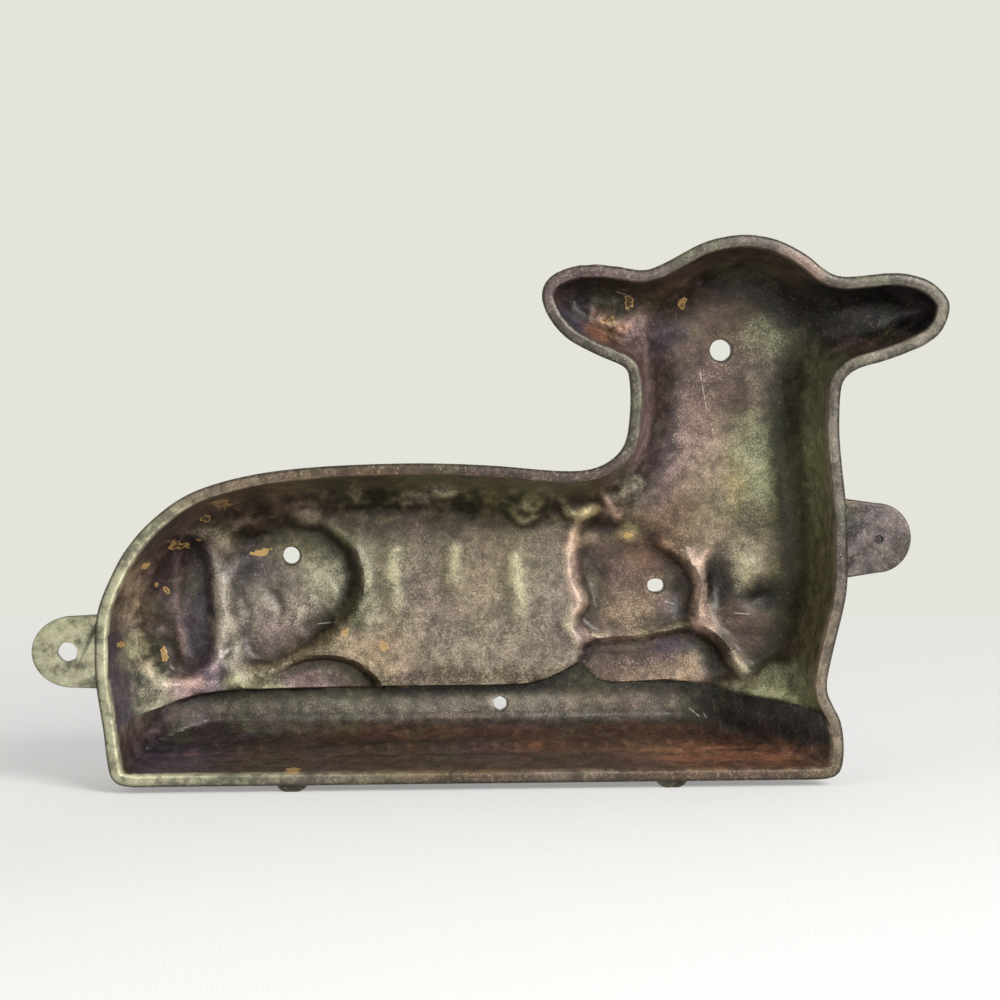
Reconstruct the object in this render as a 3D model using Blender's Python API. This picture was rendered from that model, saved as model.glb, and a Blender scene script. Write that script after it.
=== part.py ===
"""Cast iron lamb cake mould: two half shells that stand rim to rim when the mould is shut.

The back half holds the side of the lamb without a face and has the vent holes. The front
half holds the face. At rest it stands clear of the back half, to its left and in front.
Sizes are in millimetres in the drawing and become metres when a mesh is made. In the
drawing x runs from rump to chest, z runs up from the bottom edge of the rim, and depth
runs from the parting face into the shell.
"""
import math

import bmesh
import bpy
import numpy as np
from mathutils import Matrix, Vector
from mathutils.geometry import delaunay_2d_cdt

MM = 0.001

# Overall sizes
RIM_LENGTH = 310.5  # rump to the tip of the far ear
RIM_HEIGHT = 197.5  # bottom edge of the rim to the crown of the head

# The casting
RIM_WIDTH = 4.2
WALL = 4.0
PARTING_GAP = 0.3
BODY_DEPTH = 46.0
BASE_DEPTH = 53.0
MUZZLE_DEPTH = 17.0
ROUNDING_POWER = 2.2

# The hollow under the lamb slopes up from the rim to a sharp crease. Slopes are depth per height
BASE_END_SLOPE = 0.87
BASE_END_ROUNDING = 34.0
BASE_END_MARGIN = 1.4  # rim widths by which the outside reaches past the inside
BASE_CORNER_HEIGHT = 16.5
CREASE_SLOPE = 6.0
LEDGE_SLOPE = 1.4
CUT_SLOPE = 3.0

# Feet
RIM_LIFT = 2.5
FOOT_SOLE = 5.5
FOOT_WAIST = 9.8
FOOT_WAIST_LEVEL = 0.45  # share of the foot's height
FOOT_FLARE = 14.0
FOOT_START = 2.6
FOOT_END = 43.0
FOOT_TIP_LENGTH = 3.0
FOOT_TIP_SIZE = 0.8
FOOT_PLACES = (-72.0, 66.5)

# Tabs at the two ends
TAB_THICKNESS = 4.0
TAB_SETBACK = 1.0
TAB_BEVEL = 0.7
TAB_END_STEPS = 12
HOLE_SIDES = 20
LEFT_TAB = dict(root=-138.0, centre=-150.5, level=49.5, root_half=13.6, half=13.0, reach=15.0)
RIGHT_TAB = dict(root=127.0, centre=141.5, level=87.5, root_half=14.8, half=12.6, reach=12.2)
TAB_HOLE = dict(x=-152.5, z=49.5, diameter=7.0)
TAB_DIMPLE = dict(x=142.0, z=87.0, diameter=5.0, depth=1.2)

# Vent holes of the back half
VENTS = dict(
    haunch=dict(x=-75.0, z=81.0, diameter=6.5),
    head=dict(x=88.5, z=157.0, diameter=8.0),
    shoulder=dict(x=64.0, z=68.0, diameter=6.0),
    base=dict(x=4.5, z=24.0, diameter=5.2),
)

# Where the front half stands when the mould is open
APART_X = 325.0
APART_Y = 200.0

# Old seasoned iron
BACK_COLOUR = (0.105, 0.092, 0.070, 1.0)
FRONT_COLOUR = (0.095, 0.088, 0.072, 1.0)
IRON_METALLIC = 0.55
IRON_ROUGHNESS = 0.62

# Mesh spacing
RIM_SPACING = 8.0
RIM_BEND_SPACING = 9.0  # added length for each radian of turn, so that bends get more points
INNER_SPACING = 5.4
OUTER_SPACING = 9.0
INNER_RINGS = (0.45, 1.3, 2.9, 5.4, 9.0)
OUTER_RINGS = (0.5, 1.8, 4.5, 8.5)
DETAIL_ROW_SPACING = 4.6
DETAIL_ROW_OFFSET = 0.6

# Outer edge of the rim, clockwise from the crown of the head
OUTLINE = (
    (93.5, 197.5), (106.0, 195.5), (116.5, 190.0), (124.0, 184.0), (130.0, 182.0),
    (139.5, 182.5), (150.0, 183.0), (160.0, 180.5), (166.5, 175.0), (168.0, 169.5),
    (165.0, 162.0), (158.5, 157.0), (146.0, 152.0), (135.5, 149.0), (130.5, 145.5),
    (128.5, 140.0), (128.0, 125.0), (129.0, 112.0), (130.5, 95.0), (130.5, 72.0),
    (129.0, 62.0), (126.0, 50.0), (123.5, 39.0), (122.8, 33.5), (124.0, 28.5),
    (127.0, 23.0), (128.5, 16.5), (128.7, 9.0), (127.3, 3.0), (122.0, 0.2), (105.0, 0.0),
    (0.0, 0.0), (-112.0, 0.0), (-130.5, 0.2), (-136.5, 2.5), (-138.5, 8.5),
    (-140.0, 22.0), (-142.0, 36.0), (-142.5, 50.0), (-141.2, 64.0), (-136.5, 76.0),
    (-130.5, 86.5), (-121.0, 97.0), (-107.0, 106.5), (-87.0, 112.5), (-62.0, 115.5),
    (-28.0, 116.5), (0.0, 115.5), (24.0, 113.3), (36.0, 113.3), (44.5, 116.3),
    (50.3, 122.5), (52.3, 133.0), (52.3, 145.0), (50.3, 150.3), (41.5, 154.5),
    (30.5, 160.5), (23.8, 168.0), (21.0, 176.0), (23.5, 182.5), (31.0, 186.3),
    (41.0, 187.3), (51.0, 186.0), (59.0, 185.3), (68.0, 189.0), (80.0, 195.0),
)

# Depth and rounding of the shell about a few places: x, z, depth share, rounding radius
LOCAL_SHAPE = (
    (-125.0, 60.0, 0.93, 22.0), (-95.0, 85.0, 0.97, 26.0), (-30.0, 80.0, 1.0, 27.0),
    (30.0, 75.0, 1.0, 25.0), (80.0, 70.0, 0.98, 17.0), (112.0, 60.0, 0.95, 14.0),
    (85.0, 115.0, 0.94, 15.0), (93.0, 155.0, 0.86, 18.0), (93.0, 178.0, 0.78, 20.0),
    (38.0, 171.0, 0.38, 9.0), (152.0, 168.0, 0.42, 9.5),
)
SHAPE_REACH = 19.0

# The crease above the base: x, z
CREASE = (
    (-141.0, 20.0), (-131.5, 22.5), (-122.5, 25.0), (-112.0, 27.8), (-95.0, 29.0),
    (-60.0, 30.5), (80.0, 31.0), (92.0, 28.2), (107.5, 26.3), (117.0, 25.0),
    (130.0, 20.5),
)

# Recesses with a soft edge: a closed loop of x, z and the width of the edge there
HAUNCH = dict(rise=5.5, loop=(
    (-93.0, 92.0, 14.0), (-78.0, 95.0, 8.0), (-63.0, 91.0, 5.0), (-52.5, 83.0, 4.5),
    (-49.0, 70.5, 4.5), (-52.0, 59.0, 5.0), (-60.0, 49.5, 5.5), (-71.0, 41.0, 5.0),
    (-83.0, 36.5, 5.0), (-94.0, 39.0, 8.0), (-99.0, 52.0, 13.0), (-100.0, 76.0, 16.0),
))
TAIL = dict(rise=4.5, loop=(
    (-125.0, 89.0, 10.0), (-112.0, 88.0, 8.0), (-105.5, 76.0, 6.0), (-103.5, 58.0, 6.0),
    (-105.0, 44.0, 4.5), (-113.0, 35.5, 4.0), (-122.0, 36.0, 4.0), (-128.5, 45.0, 5.0),
    (-131.0, 60.0, 7.0), (-130.0, 76.0, 8.0),
))
HIND_FOOT = dict(rise=5.0, loop=(
    (-90.0, 31.0, 3.5), (-80.5, 37.0, 3.2), (-72.0, 41.0, 3.0), (-62.0, 42.0, 3.0),
    (-52.5, 40.0, 3.5), (-46.0, 35.5, 4.0), (-41.5, 29.0, 4.0), (-44.0, 21.0, 4.0),
    (-88.0, 21.0, 4.0),
))
FORELEG = dict(rise=5.5, loop=(
    (37.0, 46.5, 3.2), (46.0, 49.0, 3.5), (57.0, 49.2, 4.0), (67.0, 51.0, 4.0),
    (76.0, 52.5, 4.0), (84.0, 49.0, 4.5), (90.0, 41.5, 5.0), (93.5, 32.5, 5.0),
    (91.0, 21.0, 4.5), (38.0, 21.0, 4.0), (34.5, 34.0, 3.2),
))
SHOULDER = dict(rise=4.5, loop=(
    (42.0, 91.0, 13.0), (34.0, 81.0, 6.0), (34.0, 70.0, 3.8), (37.5, 62.0, 3.4),
    (33.0, 54.5, 3.0), (45.0, 48.0, 7.0), (66.0, 51.0, 7.0), (77.0, 54.0, 4.0),
    (77.5, 61.0, 3.8), (79.0, 68.0, 3.8), (74.5, 76.0, 4.5), (63.0, 88.0, 12.0),
))
SHARED_RECESSES = (HAUNCH, HIND_FOOT, FORELEG, SHOULDER)

# Ridges that stand towards the opening, or grooves where the height is positive
SHOULDER_FRONT_RIDGE = dict(height=-2.0, width=2.6, path=(
    (67.0, 84.0), (76.5, 77.0), (81.0, 69.0), (79.5, 60.5), (82.0, 53.5), (88.5, 47.0),
    (94.0, 38.5), (99.0, 34.5),
))
SHOULDER_BACK_RIDGE = dict(height=-1.4, width=2.2, path=(
    (40.0, 105.0), (31.5, 84.0), (31.8, 71.0), (35.5, 62.0), (30.0, 55.0), (34.0, 47.0),
))
ELBOW_GROOVE = dict(height=1.6, width=1.7, path=((19.0, 30.5), (29.0, 34.5), (35.5, 40.0)))
HAUNCH_RIDGE = dict(height=-1.0, width=2.2, path=(
    (-57.0, 89.0), (-48.5, 81.0), (-45.5, 70.0), (-48.5, 58.0),
))
TAIL_RIDGE = dict(height=-1.3, width=1.9, path=((-117.0, 82.0), (-118.5, 62.0), (-116.0, 44.0)))
SHARED_RIDGES = (SHOULDER_FRONT_RIDGE, SHOULDER_BACK_RIDGE, ELBOW_GROOVE, HAUNCH_RIDGE)

# Round swellings: x, z, half width, half height, depth added
SHARED_SWELLINGS = (
    (88.5, 67.0, 5.5, 10.0, 3.5), (106.5, 63.5, 9.0, 4.5, 2.8), (-98.0, 32.5, 3.5, 5.0, 2.4),
    (-36.0, 73.0, 4.0, 14.0, -1.5), (-17.0, 76.0, 4.0, 10.0, -1.3), (7.0, 66.0, 4.5, 13.0, -1.5),
    (112.0, 138.0, 8.0, 22.0, 2.0), (104.0, 106.0, 8.0, 14.0, -1.8), (84.0, 128.0, 9.0, 16.0, -1.2),
)
FACE_SWELLINGS = (
    (93.0, 149.0, 15.0, 22.0, MUZZLE_DEPTH), (93.0, 135.0, 8.0, 6.5, 4.0),
    (79.0, 163.0, 4.6, 3.6, 3.4), (107.0, 163.0, 4.6, 3.6, 3.4),
    (93.0, 176.0, 15.0, 9.0, 4.0), (72.0, 150.0, 8.0, 9.0, 3.0), (114.0, 150.0, 8.0, 9.0, 3.0),
)
FACE_RIDGES = (
    dict(height=-2.2, width=1.8, path=((83.0, 129.0), (88.0, 126.0), (93.0, 128.0),
                                       (98.0, 126.0), (103.0, 129.0))),
    dict(height=-2.6, width=3.6, path=((31.0, 172.0), (42.0, 175.0), (53.0, 176.0))),
    dict(height=-2.6, width=3.6, path=((158.0, 168.0), (146.0, 172.0), (134.0, 173.0))),
    dict(height=-1.8, width=1.8, path=((73.5, 167.5), (79.0, 169.0), (85.0, 166.5))),
    dict(height=-1.8, width=1.8, path=((101.0, 166.5), (107.0, 169.0), (112.5, 167.5))),
)

# Fleece: curls along the back, strongest a little way in from the rim
FLEECE_HEIGHT = 1.7
FLEECE_BAND = (6.0, 14.0, 30.0)
FLEECE_START = -120.0
FLEECE_END = 52.0
FLEECE_LOW = 70.0
FLEECE_FADE = 16.0
CURL_LENGTH = 15.7
CURL_HEIGHT = 17.5
CURL_SWAY = 34.0
CURL_WARP = 1.3

RELIEF_FADE = 9.0
SOFT_JOIN = 2.0

# The outside follows the relief more softly than the inside
OUTER_RELIEF_SOFTENING = 4.0
RECESS_SHIFT = 0.6  # share of the softening by which a recess grows
RIDGE_SPREAD = 0.5  # share of the softening added to a ridge or swelling


def fit_to_size(points):
    """Stretch drawn x, z values to the overall length and height."""
    points = np.array(points, dtype=float)
    outline = np.array(OUTLINE)
    drawn_length = outline[:, 0].max() - outline[:, 0].min()
    drawn_height = outline[:, 1].max() - outline[:, 1].min()
    points[:, 0] *= RIM_LENGTH / drawn_length
    points[:, 1] *= RIM_HEIGHT / drawn_height
    return points


def smooth_path(points, spacing, closed, bend_spacing=0.0):
    """Points along a Catmull-Rom curve through the given ones, extra columns included."""
    points = np.array(points, dtype=float)
    count = len(points)
    if closed:
        before, after = np.roll(points, 1, axis=0), np.roll(points, -1, axis=0)
        last, beyond = after, np.roll(points, -2, axis=0)
        spans = range(count)
    else:
        padded = np.vstack([2 * points[0] - points[1], points, 2 * points[-1] - points[-2]])
        before, last, beyond = padded[:-3], padded[2:-1], padded[3:]
        spans = range(count - 1)
    steps = np.linspace(0.0, 1.0, 24, endpoint=False)[:, None]
    dense = []
    for i in spans:
        a, b, c, d = before[i], points[i], last[i], beyond[i]
        dense.append(0.5 * (2 * b + (c - a) * steps + (2 * a - 5 * b + 4 * c - d) * steps ** 2
                            + (3 * b - a - 3 * c + d) * steps ** 3))
    dense = np.vstack(dense + [points[:1] if closed else points[-1:]])
    span = np.diff(dense[:, :2], axis=0)
    heading = np.unwrap(np.arctan2(span[:, 1], span[:, 0]))
    turn = np.abs(np.diff(heading, prepend=heading[:1]))
    along = np.concatenate([[0.0], np.cumsum(np.hypot(*span.T) + bend_spacing * turn)])
    samples = max(3, round(along[-1] / spacing))
    wanted = np.linspace(0.0, along[-1], samples + 1)
    if closed:
        wanted = wanted[:-1]
    return np.column_stack([np.interp(wanted, along, column) for column in dense.T])


def inward_normals(loop):
    """Unit normals that point into a clockwise loop."""
    tangent = np.roll(loop, -1, axis=0) - np.roll(loop, 1, axis=0)
    tangent /= np.linalg.norm(tangent, axis=1)[:, None]
    return np.column_stack([tangent[:, 1], -tangent[:, 0]])


def nearest_on_path(points, path, closed):
    """Distance from each point to a path, and the path's third column at the nearest place."""
    starts = path if closed else path[:-1]
    ends = np.roll(path, -1, axis=0) if closed else path[1:]
    span = ends[:, :2] - starts[:, :2]
    reach = points[:, None, :] - starts[None, :, :2]
    share = (reach * span).sum(-1) / (span ** 2).sum(-1)
    share = np.clip(share, 0.0, 1.0)
    gap = np.linalg.norm(reach - share[..., None] * span, axis=-1)
    best = gap.argmin(axis=1)
    rows = np.arange(len(points))
    value = None
    if path.shape[1] > 2:
        value = starts[best, 2] + share[rows, best] * (ends[best, 2] - starts[best, 2])
    return gap[rows, best], value


def is_inside(points, loop):
    """Even-odd test of points against a closed loop."""
    x, z = points[:, 0, None], points[:, 1, None]
    x0, z0 = loop[:, 0], loop[:, 1]
    x1, z1 = np.roll(x0, -1), np.roll(z0, -1)
    rise = np.where(z1 == z0, 1e-12, z1 - z0)
    crossing = ((z0 > z) != (z1 > z)) & (x < x0 + (z - z0) / rise * (x1 - x0))
    return crossing.sum(axis=1) % 2 == 1


def signed_distance(points, loop):
    """Distance to a closed loop, positive inside it, and the loop's third column there."""
    gap, value = nearest_on_path(points, loop, closed=True)
    return np.where(is_inside(points, loop[:, :2]), gap, -gap), value


def smooth_step(value):
    value = np.clip(value, 0.0, 1.0)
    return value * value * (3.0 - 2.0 * value)


def soft_minimum(a, b):
    """The smaller of two depths, rounded where they cross."""
    blend = np.clip(0.5 + 0.5 * (b - a) / SOFT_JOIN, 0.0, 1.0)
    return b + (a - b) * blend - SOFT_JOIN * blend * (1.0 - blend)


def rounded_wall(inset, radius):
    """Share of the full depth reached at an inset from the rim."""
    share = np.clip(inset / radius, 0.0, 1.0)
    return (1.0 - (1.0 - share) ** ROUNDING_POWER) ** (1.0 / ROUNDING_POWER)


def local_shape(points):
    """Depth share and rounding radius, blended between the places of LOCAL_SHAPE."""
    table = np.array(LOCAL_SHAPE)
    places = fit_to_size(table[:, :2])
    squared = ((points[:, None, :] - places[None]) ** 2).sum(-1)
    weight = np.exp(-squared / (2.0 * SHAPE_REACH ** 2)) + 1e-9
    weight /= weight.sum(axis=1)[:, None]
    return weight @ table[:, 2], weight @ table[:, 3]


def recess_depth(points, recess, softening):
    loop = np.array(recess["loop"])
    loop[:, :2] = fit_to_size(loop[:, :2])
    loop = smooth_path(loop, 3.0, closed=True)
    distance, width = signed_distance(points, loop)
    share = (distance + RECESS_SHIFT * softening) / (width + softening) + 0.5
    return recess["rise"] * smooth_step(share)


def ridge_depth(points, ridge, softening):
    path = smooth_path(fit_to_size(ridge["path"]), 3.0, closed=False)
    gap, _ = nearest_on_path(points, path, closed=False)
    width = ridge["width"] + RIDGE_SPREAD * softening
    return ridge["height"] * ridge["width"] / width * np.exp(-(gap / width) ** 2)


def swelling_depth(points, swelling, softening):
    x, z, half_width, half_height, rise = swelling
    centre = fit_to_size([(x, z)])[0]
    spread = RIDGE_SPREAD * softening
    offset = (points - centre) / (half_width + spread, half_height + spread)
    return rise * np.exp(-(offset ** 2).sum(axis=1))


def fleece_depth(points, inset):
    """Curls as a warped checker of swellings along the back."""
    x, z = points.T
    start, full, end = FLEECE_BAND
    band = smooth_step((inset - start) / (full - start)) * smooth_step((end - inset) / (end - full))
    along = smooth_step((x - FLEECE_START) / FLEECE_FADE)
    along *= smooth_step((FLEECE_END - x) / FLEECE_FADE)
    above = smooth_step((z - FLEECE_LOW) / FLEECE_FADE)
    turn = 2.0 * math.pi
    across_rows = np.sin(turn * x / CURL_LENGTH + CURL_WARP * np.sin(turn * z / CURL_SWAY))
    along_rows = np.sin(turn * z / CURL_HEIGHT + CURL_WARP * np.sin(turn * x / CURL_SWAY))
    return FLEECE_HEIGHT * band * along * above * across_rows * along_rows


def crease_height(x):
    crease = fit_to_size(CREASE)
    return np.interp(x, crease[:, 0], crease[:, 1])


class HalfForm:
    """The two surfaces of one half shell as depths over the parting face."""

    def __init__(self, recesses, ridges, swellings):
        self.recesses = recesses
        self.ridges = ridges
        self.swellings = swellings
        self.rim_outer = smooth_path(fit_to_size(OUTLINE), RIM_SPACING, True, RIM_BEND_SPACING)
        self.rim_inner = self.rim_outer + inward_normals(self.rim_outer) * RIM_WIDTH
        self.base_slope = BASE_DEPTH / (crease_height(0.0) - RIM_WIDTH)

    def relief(self, points, inset, softening):
        total = np.max([recess_depth(points, recess, softening) for recess in self.recesses], axis=0)
        total = total + fleece_depth(points, inset)
        for ridge in self.ridges:
            total = total + ridge_depth(points, ridge, softening)
        for swelling in self.swellings:
            total = total + swelling_depth(points, swelling, softening)
        return total * smooth_step(inset / RELIEF_FADE)

    def depth(self, points, loop, grow, softening):
        """Depth of a surface: grow is 0 for the inside and the wall for the outside."""
        inset, _ = signed_distance(points, loop)
        inset = np.maximum(inset, 0.0)
        share, radius = local_shape(points)
        margin = RIM_WIDTH if grow else 0.0
        wall_share = rounded_wall(inset, radius + margin)
        body = (BODY_DEPTH * share + grow) * wall_share
        body += self.relief(points, np.maximum(inset - margin, 0.0), softening)
        height = points[:, 1]
        crease = crease_height(points[:, 0])
        base_share = rounded_wall(inset, BASE_END_ROUNDING + margin)
        base = self.base(points, height, margin, grow, base_share)
        base -= CREASE_SLOPE * np.maximum(0.0, height - crease - grow)
        ledge = self.base(points, crease - grow, margin, grow, base_share)
        over = height - crease + grow
        body = soft_minimum(body, ledge + LEDGE_SLOPE * np.maximum(over, 0.0) + SOFT_JOIN)
        body -= CUT_SLOPE * np.maximum(-over, 0.0)
        return np.maximum(body, base)

    def base(self, points, height, margin, grow, wall_share):
        """Depth of the hollow under the lamb at a height, with a long slope at the chest end."""
        end = self.rim_outer[self.rim_outer[:, 1] < BASE_CORNER_HEIGHT][:, 0].max()
        end_depth = BASE_END_SLOPE * (end - RIM_WIDTH + BASE_END_MARGIN * margin - points[:, 0])
        slope = self.base_slope * (height - RIM_WIDTH + margin)
        return np.minimum(soft_minimum(slope, end_depth), (BASE_DEPTH + grow) * wall_share)

    def inner(self, points):
        return self.depth(points, self.rim_inner, 0.0, 0.0)

    def outer(self, points):
        return self.depth(points, self.rim_outer, WALL, OUTER_RELIEF_SOFTENING)


def detail_rows(form, rings):
    """Rows of points beside the crease and the sharp recess edges."""
    crease = smooth_path(fit_to_size(CREASE), DETAIL_ROW_SPACING, closed=False)
    rows = [crease + (0.0, raise_by) for raise_by in (0.0, 2.0 * DETAIL_ROW_OFFSET)]
    for recess in form.recesses:
        loop = np.array(recess["loop"])
        loop[:, :2] = fit_to_size(loop[:, :2])
        loop = smooth_path(loop, DETAIL_ROW_SPACING, closed=True)
        normal = inward_normals(loop[:, :2])
        sharp = loop[:, 2] < 7.0
        for side in (-0.5, 0.5):
            rows.append((loop[:, :2] + normal * loop[:, 2:3] * side)[sharp])
    rows = np.vstack(rows)
    inset, _ = signed_distance(rows, form.rim_inner)
    return rows[inset > rings[-1]]


def spread_points(loop, rings, spacing, extra):
    """Points for one surface: rings beside the edge, chosen rows, then an even grid."""
    normal = inward_normals(loop)
    chosen = []
    for ring in rings:
        candidates = loop + normal * ring
        inset, _ = signed_distance(candidates, loop)
        chosen.append(candidates[inset > 0.96 * ring])
    chosen = np.vstack(chosen)
    low, high = loop.min(axis=0), loop.max(axis=0)
    row_step = spacing * math.sqrt(3.0) / 2.0
    grid = []
    for row, z in enumerate(np.arange(low[1], high[1], row_step)):
        start = low[0] + (row % 2) * spacing / 2.0
        grid += [(x, z) for x in np.arange(start, high[0], spacing)]
    grid = np.array(grid)
    inset, _ = signed_distance(grid, loop)
    grid = grid[inset > rings[-1] + 0.55 * spacing]
    for group, clearance in ((extra, 1.0), (grid, 0.6 * spacing)):
        for point in group:
            nearest = np.hypot(*(chosen - point).T).min()
            if nearest > clearance:
                chosen = np.vstack([chosen, point])
    return chosen


def add_surface(bm, loop, loop_verts, points, depth_of, facing_out):
    """Triangulate one surface between the rim vertices and lift it to its depth."""
    flat = [Vector(p) for p in np.vstack([loop, points])]
    count = len(loop)
    boundary = [(i, (i + 1) % count) for i in range(count)]
    result = delaunay_2d_cdt(flat, boundary, [], 0, 1e-7, True)
    corners, faces, origins = result[0], result[2], result[3]
    middles = np.array([sum((corners[i] for i in face), Vector((0.0, 0.0))) / 3.0 for face in faces])
    faces = [face for face, keep in zip(faces, is_inside(middles, loop)) if keep]
    depths = depth_of(np.array([(c.x, c.y) for c in corners]))
    verts = []
    for corner, depth, origin in zip(corners, depths, origins):
        source = min(origin) if origin else count
        if source < count:
            verts.append(loop_verts[source])
        else:
            verts.append(bm.verts.new((corner.x, depth, corner.y)))
    for face in faces:
        a, b, c = (corners[i] for i in face)
        turn = (b - a).cross(c - a)
        order = face if (turn > 0) != facing_out else face[::-1]
        bm.faces.new([verts[i] for i in order])


def shell_mesh(form, name):
    """One closed half shell: rim face, inside and outside, with depth along +y."""
    bm = bmesh.new()
    outer_verts = [bm.verts.new((x, 0.0, z)) for x, z in form.rim_outer]
    inner_verts = [bm.verts.new((x, 0.0, z)) for x, z in form.rim_inner]
    count = len(outer_verts)
    for i in range(count):
        j = (i + 1) % count
        bm.faces.new((outer_verts[i], outer_verts[j], inner_verts[j], inner_verts[i]))
    rows = detail_rows(form, INNER_RINGS)
    inside = spread_points(form.rim_inner, INNER_RINGS, INNER_SPACING, rows)
    add_surface(bm, form.rim_inner, inner_verts, inside, form.inner, facing_out=False)
    crease = smooth_path(fit_to_size(CREASE), OUTER_SPACING, closed=False)
    rows = np.vstack([crease + (0.0, WALL), crease + (0.0, WALL + 2.0 * DETAIL_ROW_OFFSET)])
    inset, _ = signed_distance(rows, form.rim_outer)
    outside = spread_points(form.rim_outer, OUTER_RINGS, OUTER_SPACING, rows[inset > OUTER_RINGS[-1]])
    add_surface(bm, form.rim_outer, outer_verts, outside, form.outer, facing_out=True)
    bmesh.ops.recalc_face_normals(bm, faces=bm.faces)
    return finish_mesh(bm, name)


def finish_mesh(bm, name):
    """Turn a drawing in millimetres into a smooth shaded mesh in metres."""
    bmesh.ops.scale(bm, vec=(MM, MM, MM), verts=bm.verts)
    mesh = bpy.data.meshes.new(name)
    bm.to_mesh(mesh)
    bm.free()
    mesh.shade_smooth()
    mesh.set_sharp_from_angle(angle=math.radians(50.0))
    return mesh


def tab_mesh(tab, name):
    """A flat ear with straight sides and a rounded end, set back from the parting face."""
    side = 1.0 if tab["centre"] > tab["root"] else -1.0
    scale = fit_to_size([(1.0, 1.0)])[0]
    level = tab["level"] * scale[1]
    root, centre = tab["root"] * scale[0], tab["centre"] * scale[0]
    points = [(root, level - tab["root_half"])]
    for step in range(TAB_END_STEPS + 1):
        angle = math.radians(-90.0 + 180.0 * step / TAB_END_STEPS)
        points.append((centre + side * tab["reach"] * math.cos(angle),
                       level + tab["half"] * math.sin(angle)))
    points.append((root, level + tab["root_half"]))
    bm = bmesh.new()
    face = bm.faces.new([bm.verts.new((x, TAB_SETBACK, z)) for x, z in points])
    extruded = bmesh.ops.extrude_face_region(bm, geom=[face])
    moved = [v for v in extruded["geom"] if isinstance(v, bmesh.types.BMVert)]
    bmesh.ops.translate(bm, vec=(0.0, TAB_THICKNESS, 0.0), verts=moved)
    bmesh.ops.recalc_face_normals(bm, faces=bm.faces)
    edges = [e for e in bm.edges if abs(e.verts[0].co.y - e.verts[1].co.y) < 1e-6]
    bmesh.ops.bevel(bm, geom=edges, offset=TAB_BEVEL, segments=2, profile=0.5, affect="EDGES")
    return finish_mesh(bm, name)


def foot_mesh(form, place, name):
    """A lug under the sloping base: a level sole that flares up into the wall."""
    x = fit_to_size([(place, 0.0)])[0][0]
    middle = 0.5 * (FOOT_START + FOOT_END)
    bm = bmesh.new()
    sections = []
    for depth, size in ((FOOT_START, FOOT_TIP_SIZE), (FOOT_START + FOOT_TIP_LENGTH, 1.0),
                        (middle, 1.0), (FOOT_END - FOOT_TIP_LENGTH, 1.0),
                        (FOOT_END, FOOT_TIP_SIZE)):
        top = depth / form.base_slope + 0.5 * RIM_WIDTH
        waist = FOOT_WAIST_LEVEL * (top + RIM_LIFT) - RIM_LIFT
        levels = ((FOOT_SOLE, -RIM_LIFT), (FOOT_WAIST, waist), (FOOT_FLARE, top))
        right = [(0.5 * width * size, z) for width, z in levels]
        ring = [(-half, z) for half, z in reversed(right)] + right
        sections.append([bm.verts.new((x + half, depth, z)) for half, z in ring])
    for a, b in zip(sections, sections[1:]):
        for i in range(len(a)):
            j = (i + 1) % len(a)
            bm.faces.new((a[i], a[j], b[j], b[i]))
    bm.faces.new(sections[0])
    bm.faces.new(sections[-1])
    bmesh.ops.recalc_face_normals(bm, faces=bm.faces)
    return finish_mesh(bm, name)


def pin_mesh(x, z, diameter, start, end, name):
    """A round cutter along y."""
    place = fit_to_size([(x, z)])[0]
    bm = bmesh.new()
    turn = Matrix.Rotation(math.radians(90.0), 4, "X")
    shift = Matrix.Translation((place[0], 0.5 * (start + end), place[1]))
    bmesh.ops.create_cone(bm, cap_ends=True, segments=HOLE_SIDES, radius1=0.5 * diameter,
                          radius2=0.5 * diameter, depth=end - start, matrix=shift @ turn)
    return finish_mesh(bm, name)


def cast_iron(name, colour):
    material = bpy.data.materials.new(name)
    material.use_nodes = True
    shader = material.node_tree.nodes["Principled BSDF"]
    shader.inputs["Base Color"].default_value = colour
    shader.inputs["Metallic"].default_value = IRON_METALLIC
    shader.inputs["Roughness"].default_value = IRON_ROUGHNESS
    return material


def add_object(name, mesh, parent):
    piece = bpy.data.objects.new(name, mesh)
    bpy.context.collection.objects.link(piece)
    piece.parent = parent
    return piece


def combine(target, tools, operation):
    """Join or cut with hidden tools that stay beside the target."""
    for tool in tools:
        tool.hide_render = True
        tool.display_type = "WIRE"
        modifier = target.modifiers.new(f"{operation.lower()} {tool.name}", "BOOLEAN")
        modifier.operation = operation
        modifier.solver = "EXACT"
        modifier.object = tool


def build_half(name, form, material, holes, dimples):
    """A half with its tabs and feet joined on and its holes cut, under one empty."""
    frame = bpy.data.objects.new(f"{name} frame", None)
    bpy.context.collection.objects.link(frame)
    half = add_object(name, shell_mesh(form, name), frame)
    half.data.materials.append(material)
    joined = [
        add_object(f"{name} left tab", tab_mesh(LEFT_TAB, "left tab"), frame),
        add_object(f"{name} right tab", tab_mesh(RIGHT_TAB, "right tab"), frame),
    ]
    for place in FOOT_PLACES:
        joined.append(add_object(f"{name} foot", foot_mesh(form, place, "foot"), frame))
    combine(half, joined, "UNION")
    cutters = []
    reach = BASE_DEPTH + MUZZLE_DEPTH + WALL
    for hole in holes:
        mesh = pin_mesh(hole["x"], hole["z"], hole["diameter"], -RIM_WIDTH, reach, "hole")
        cutters.append(add_object(f"{name} hole", mesh, frame))
    for dimple in dimples:
        floor = TAB_SETBACK + dimple["depth"]
        mesh = pin_mesh(dimple["x"], dimple["z"], dimple["diameter"], -WALL, floor, "dimple")
        cutters.append(add_object(f"{name} dimple", mesh, frame))
    combine(half, cutters, "DIFFERENCE")
    half.modifiers.new("even shading", "WEIGHTED_NORMAL").keep_sharp = True
    return half, frame


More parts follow.
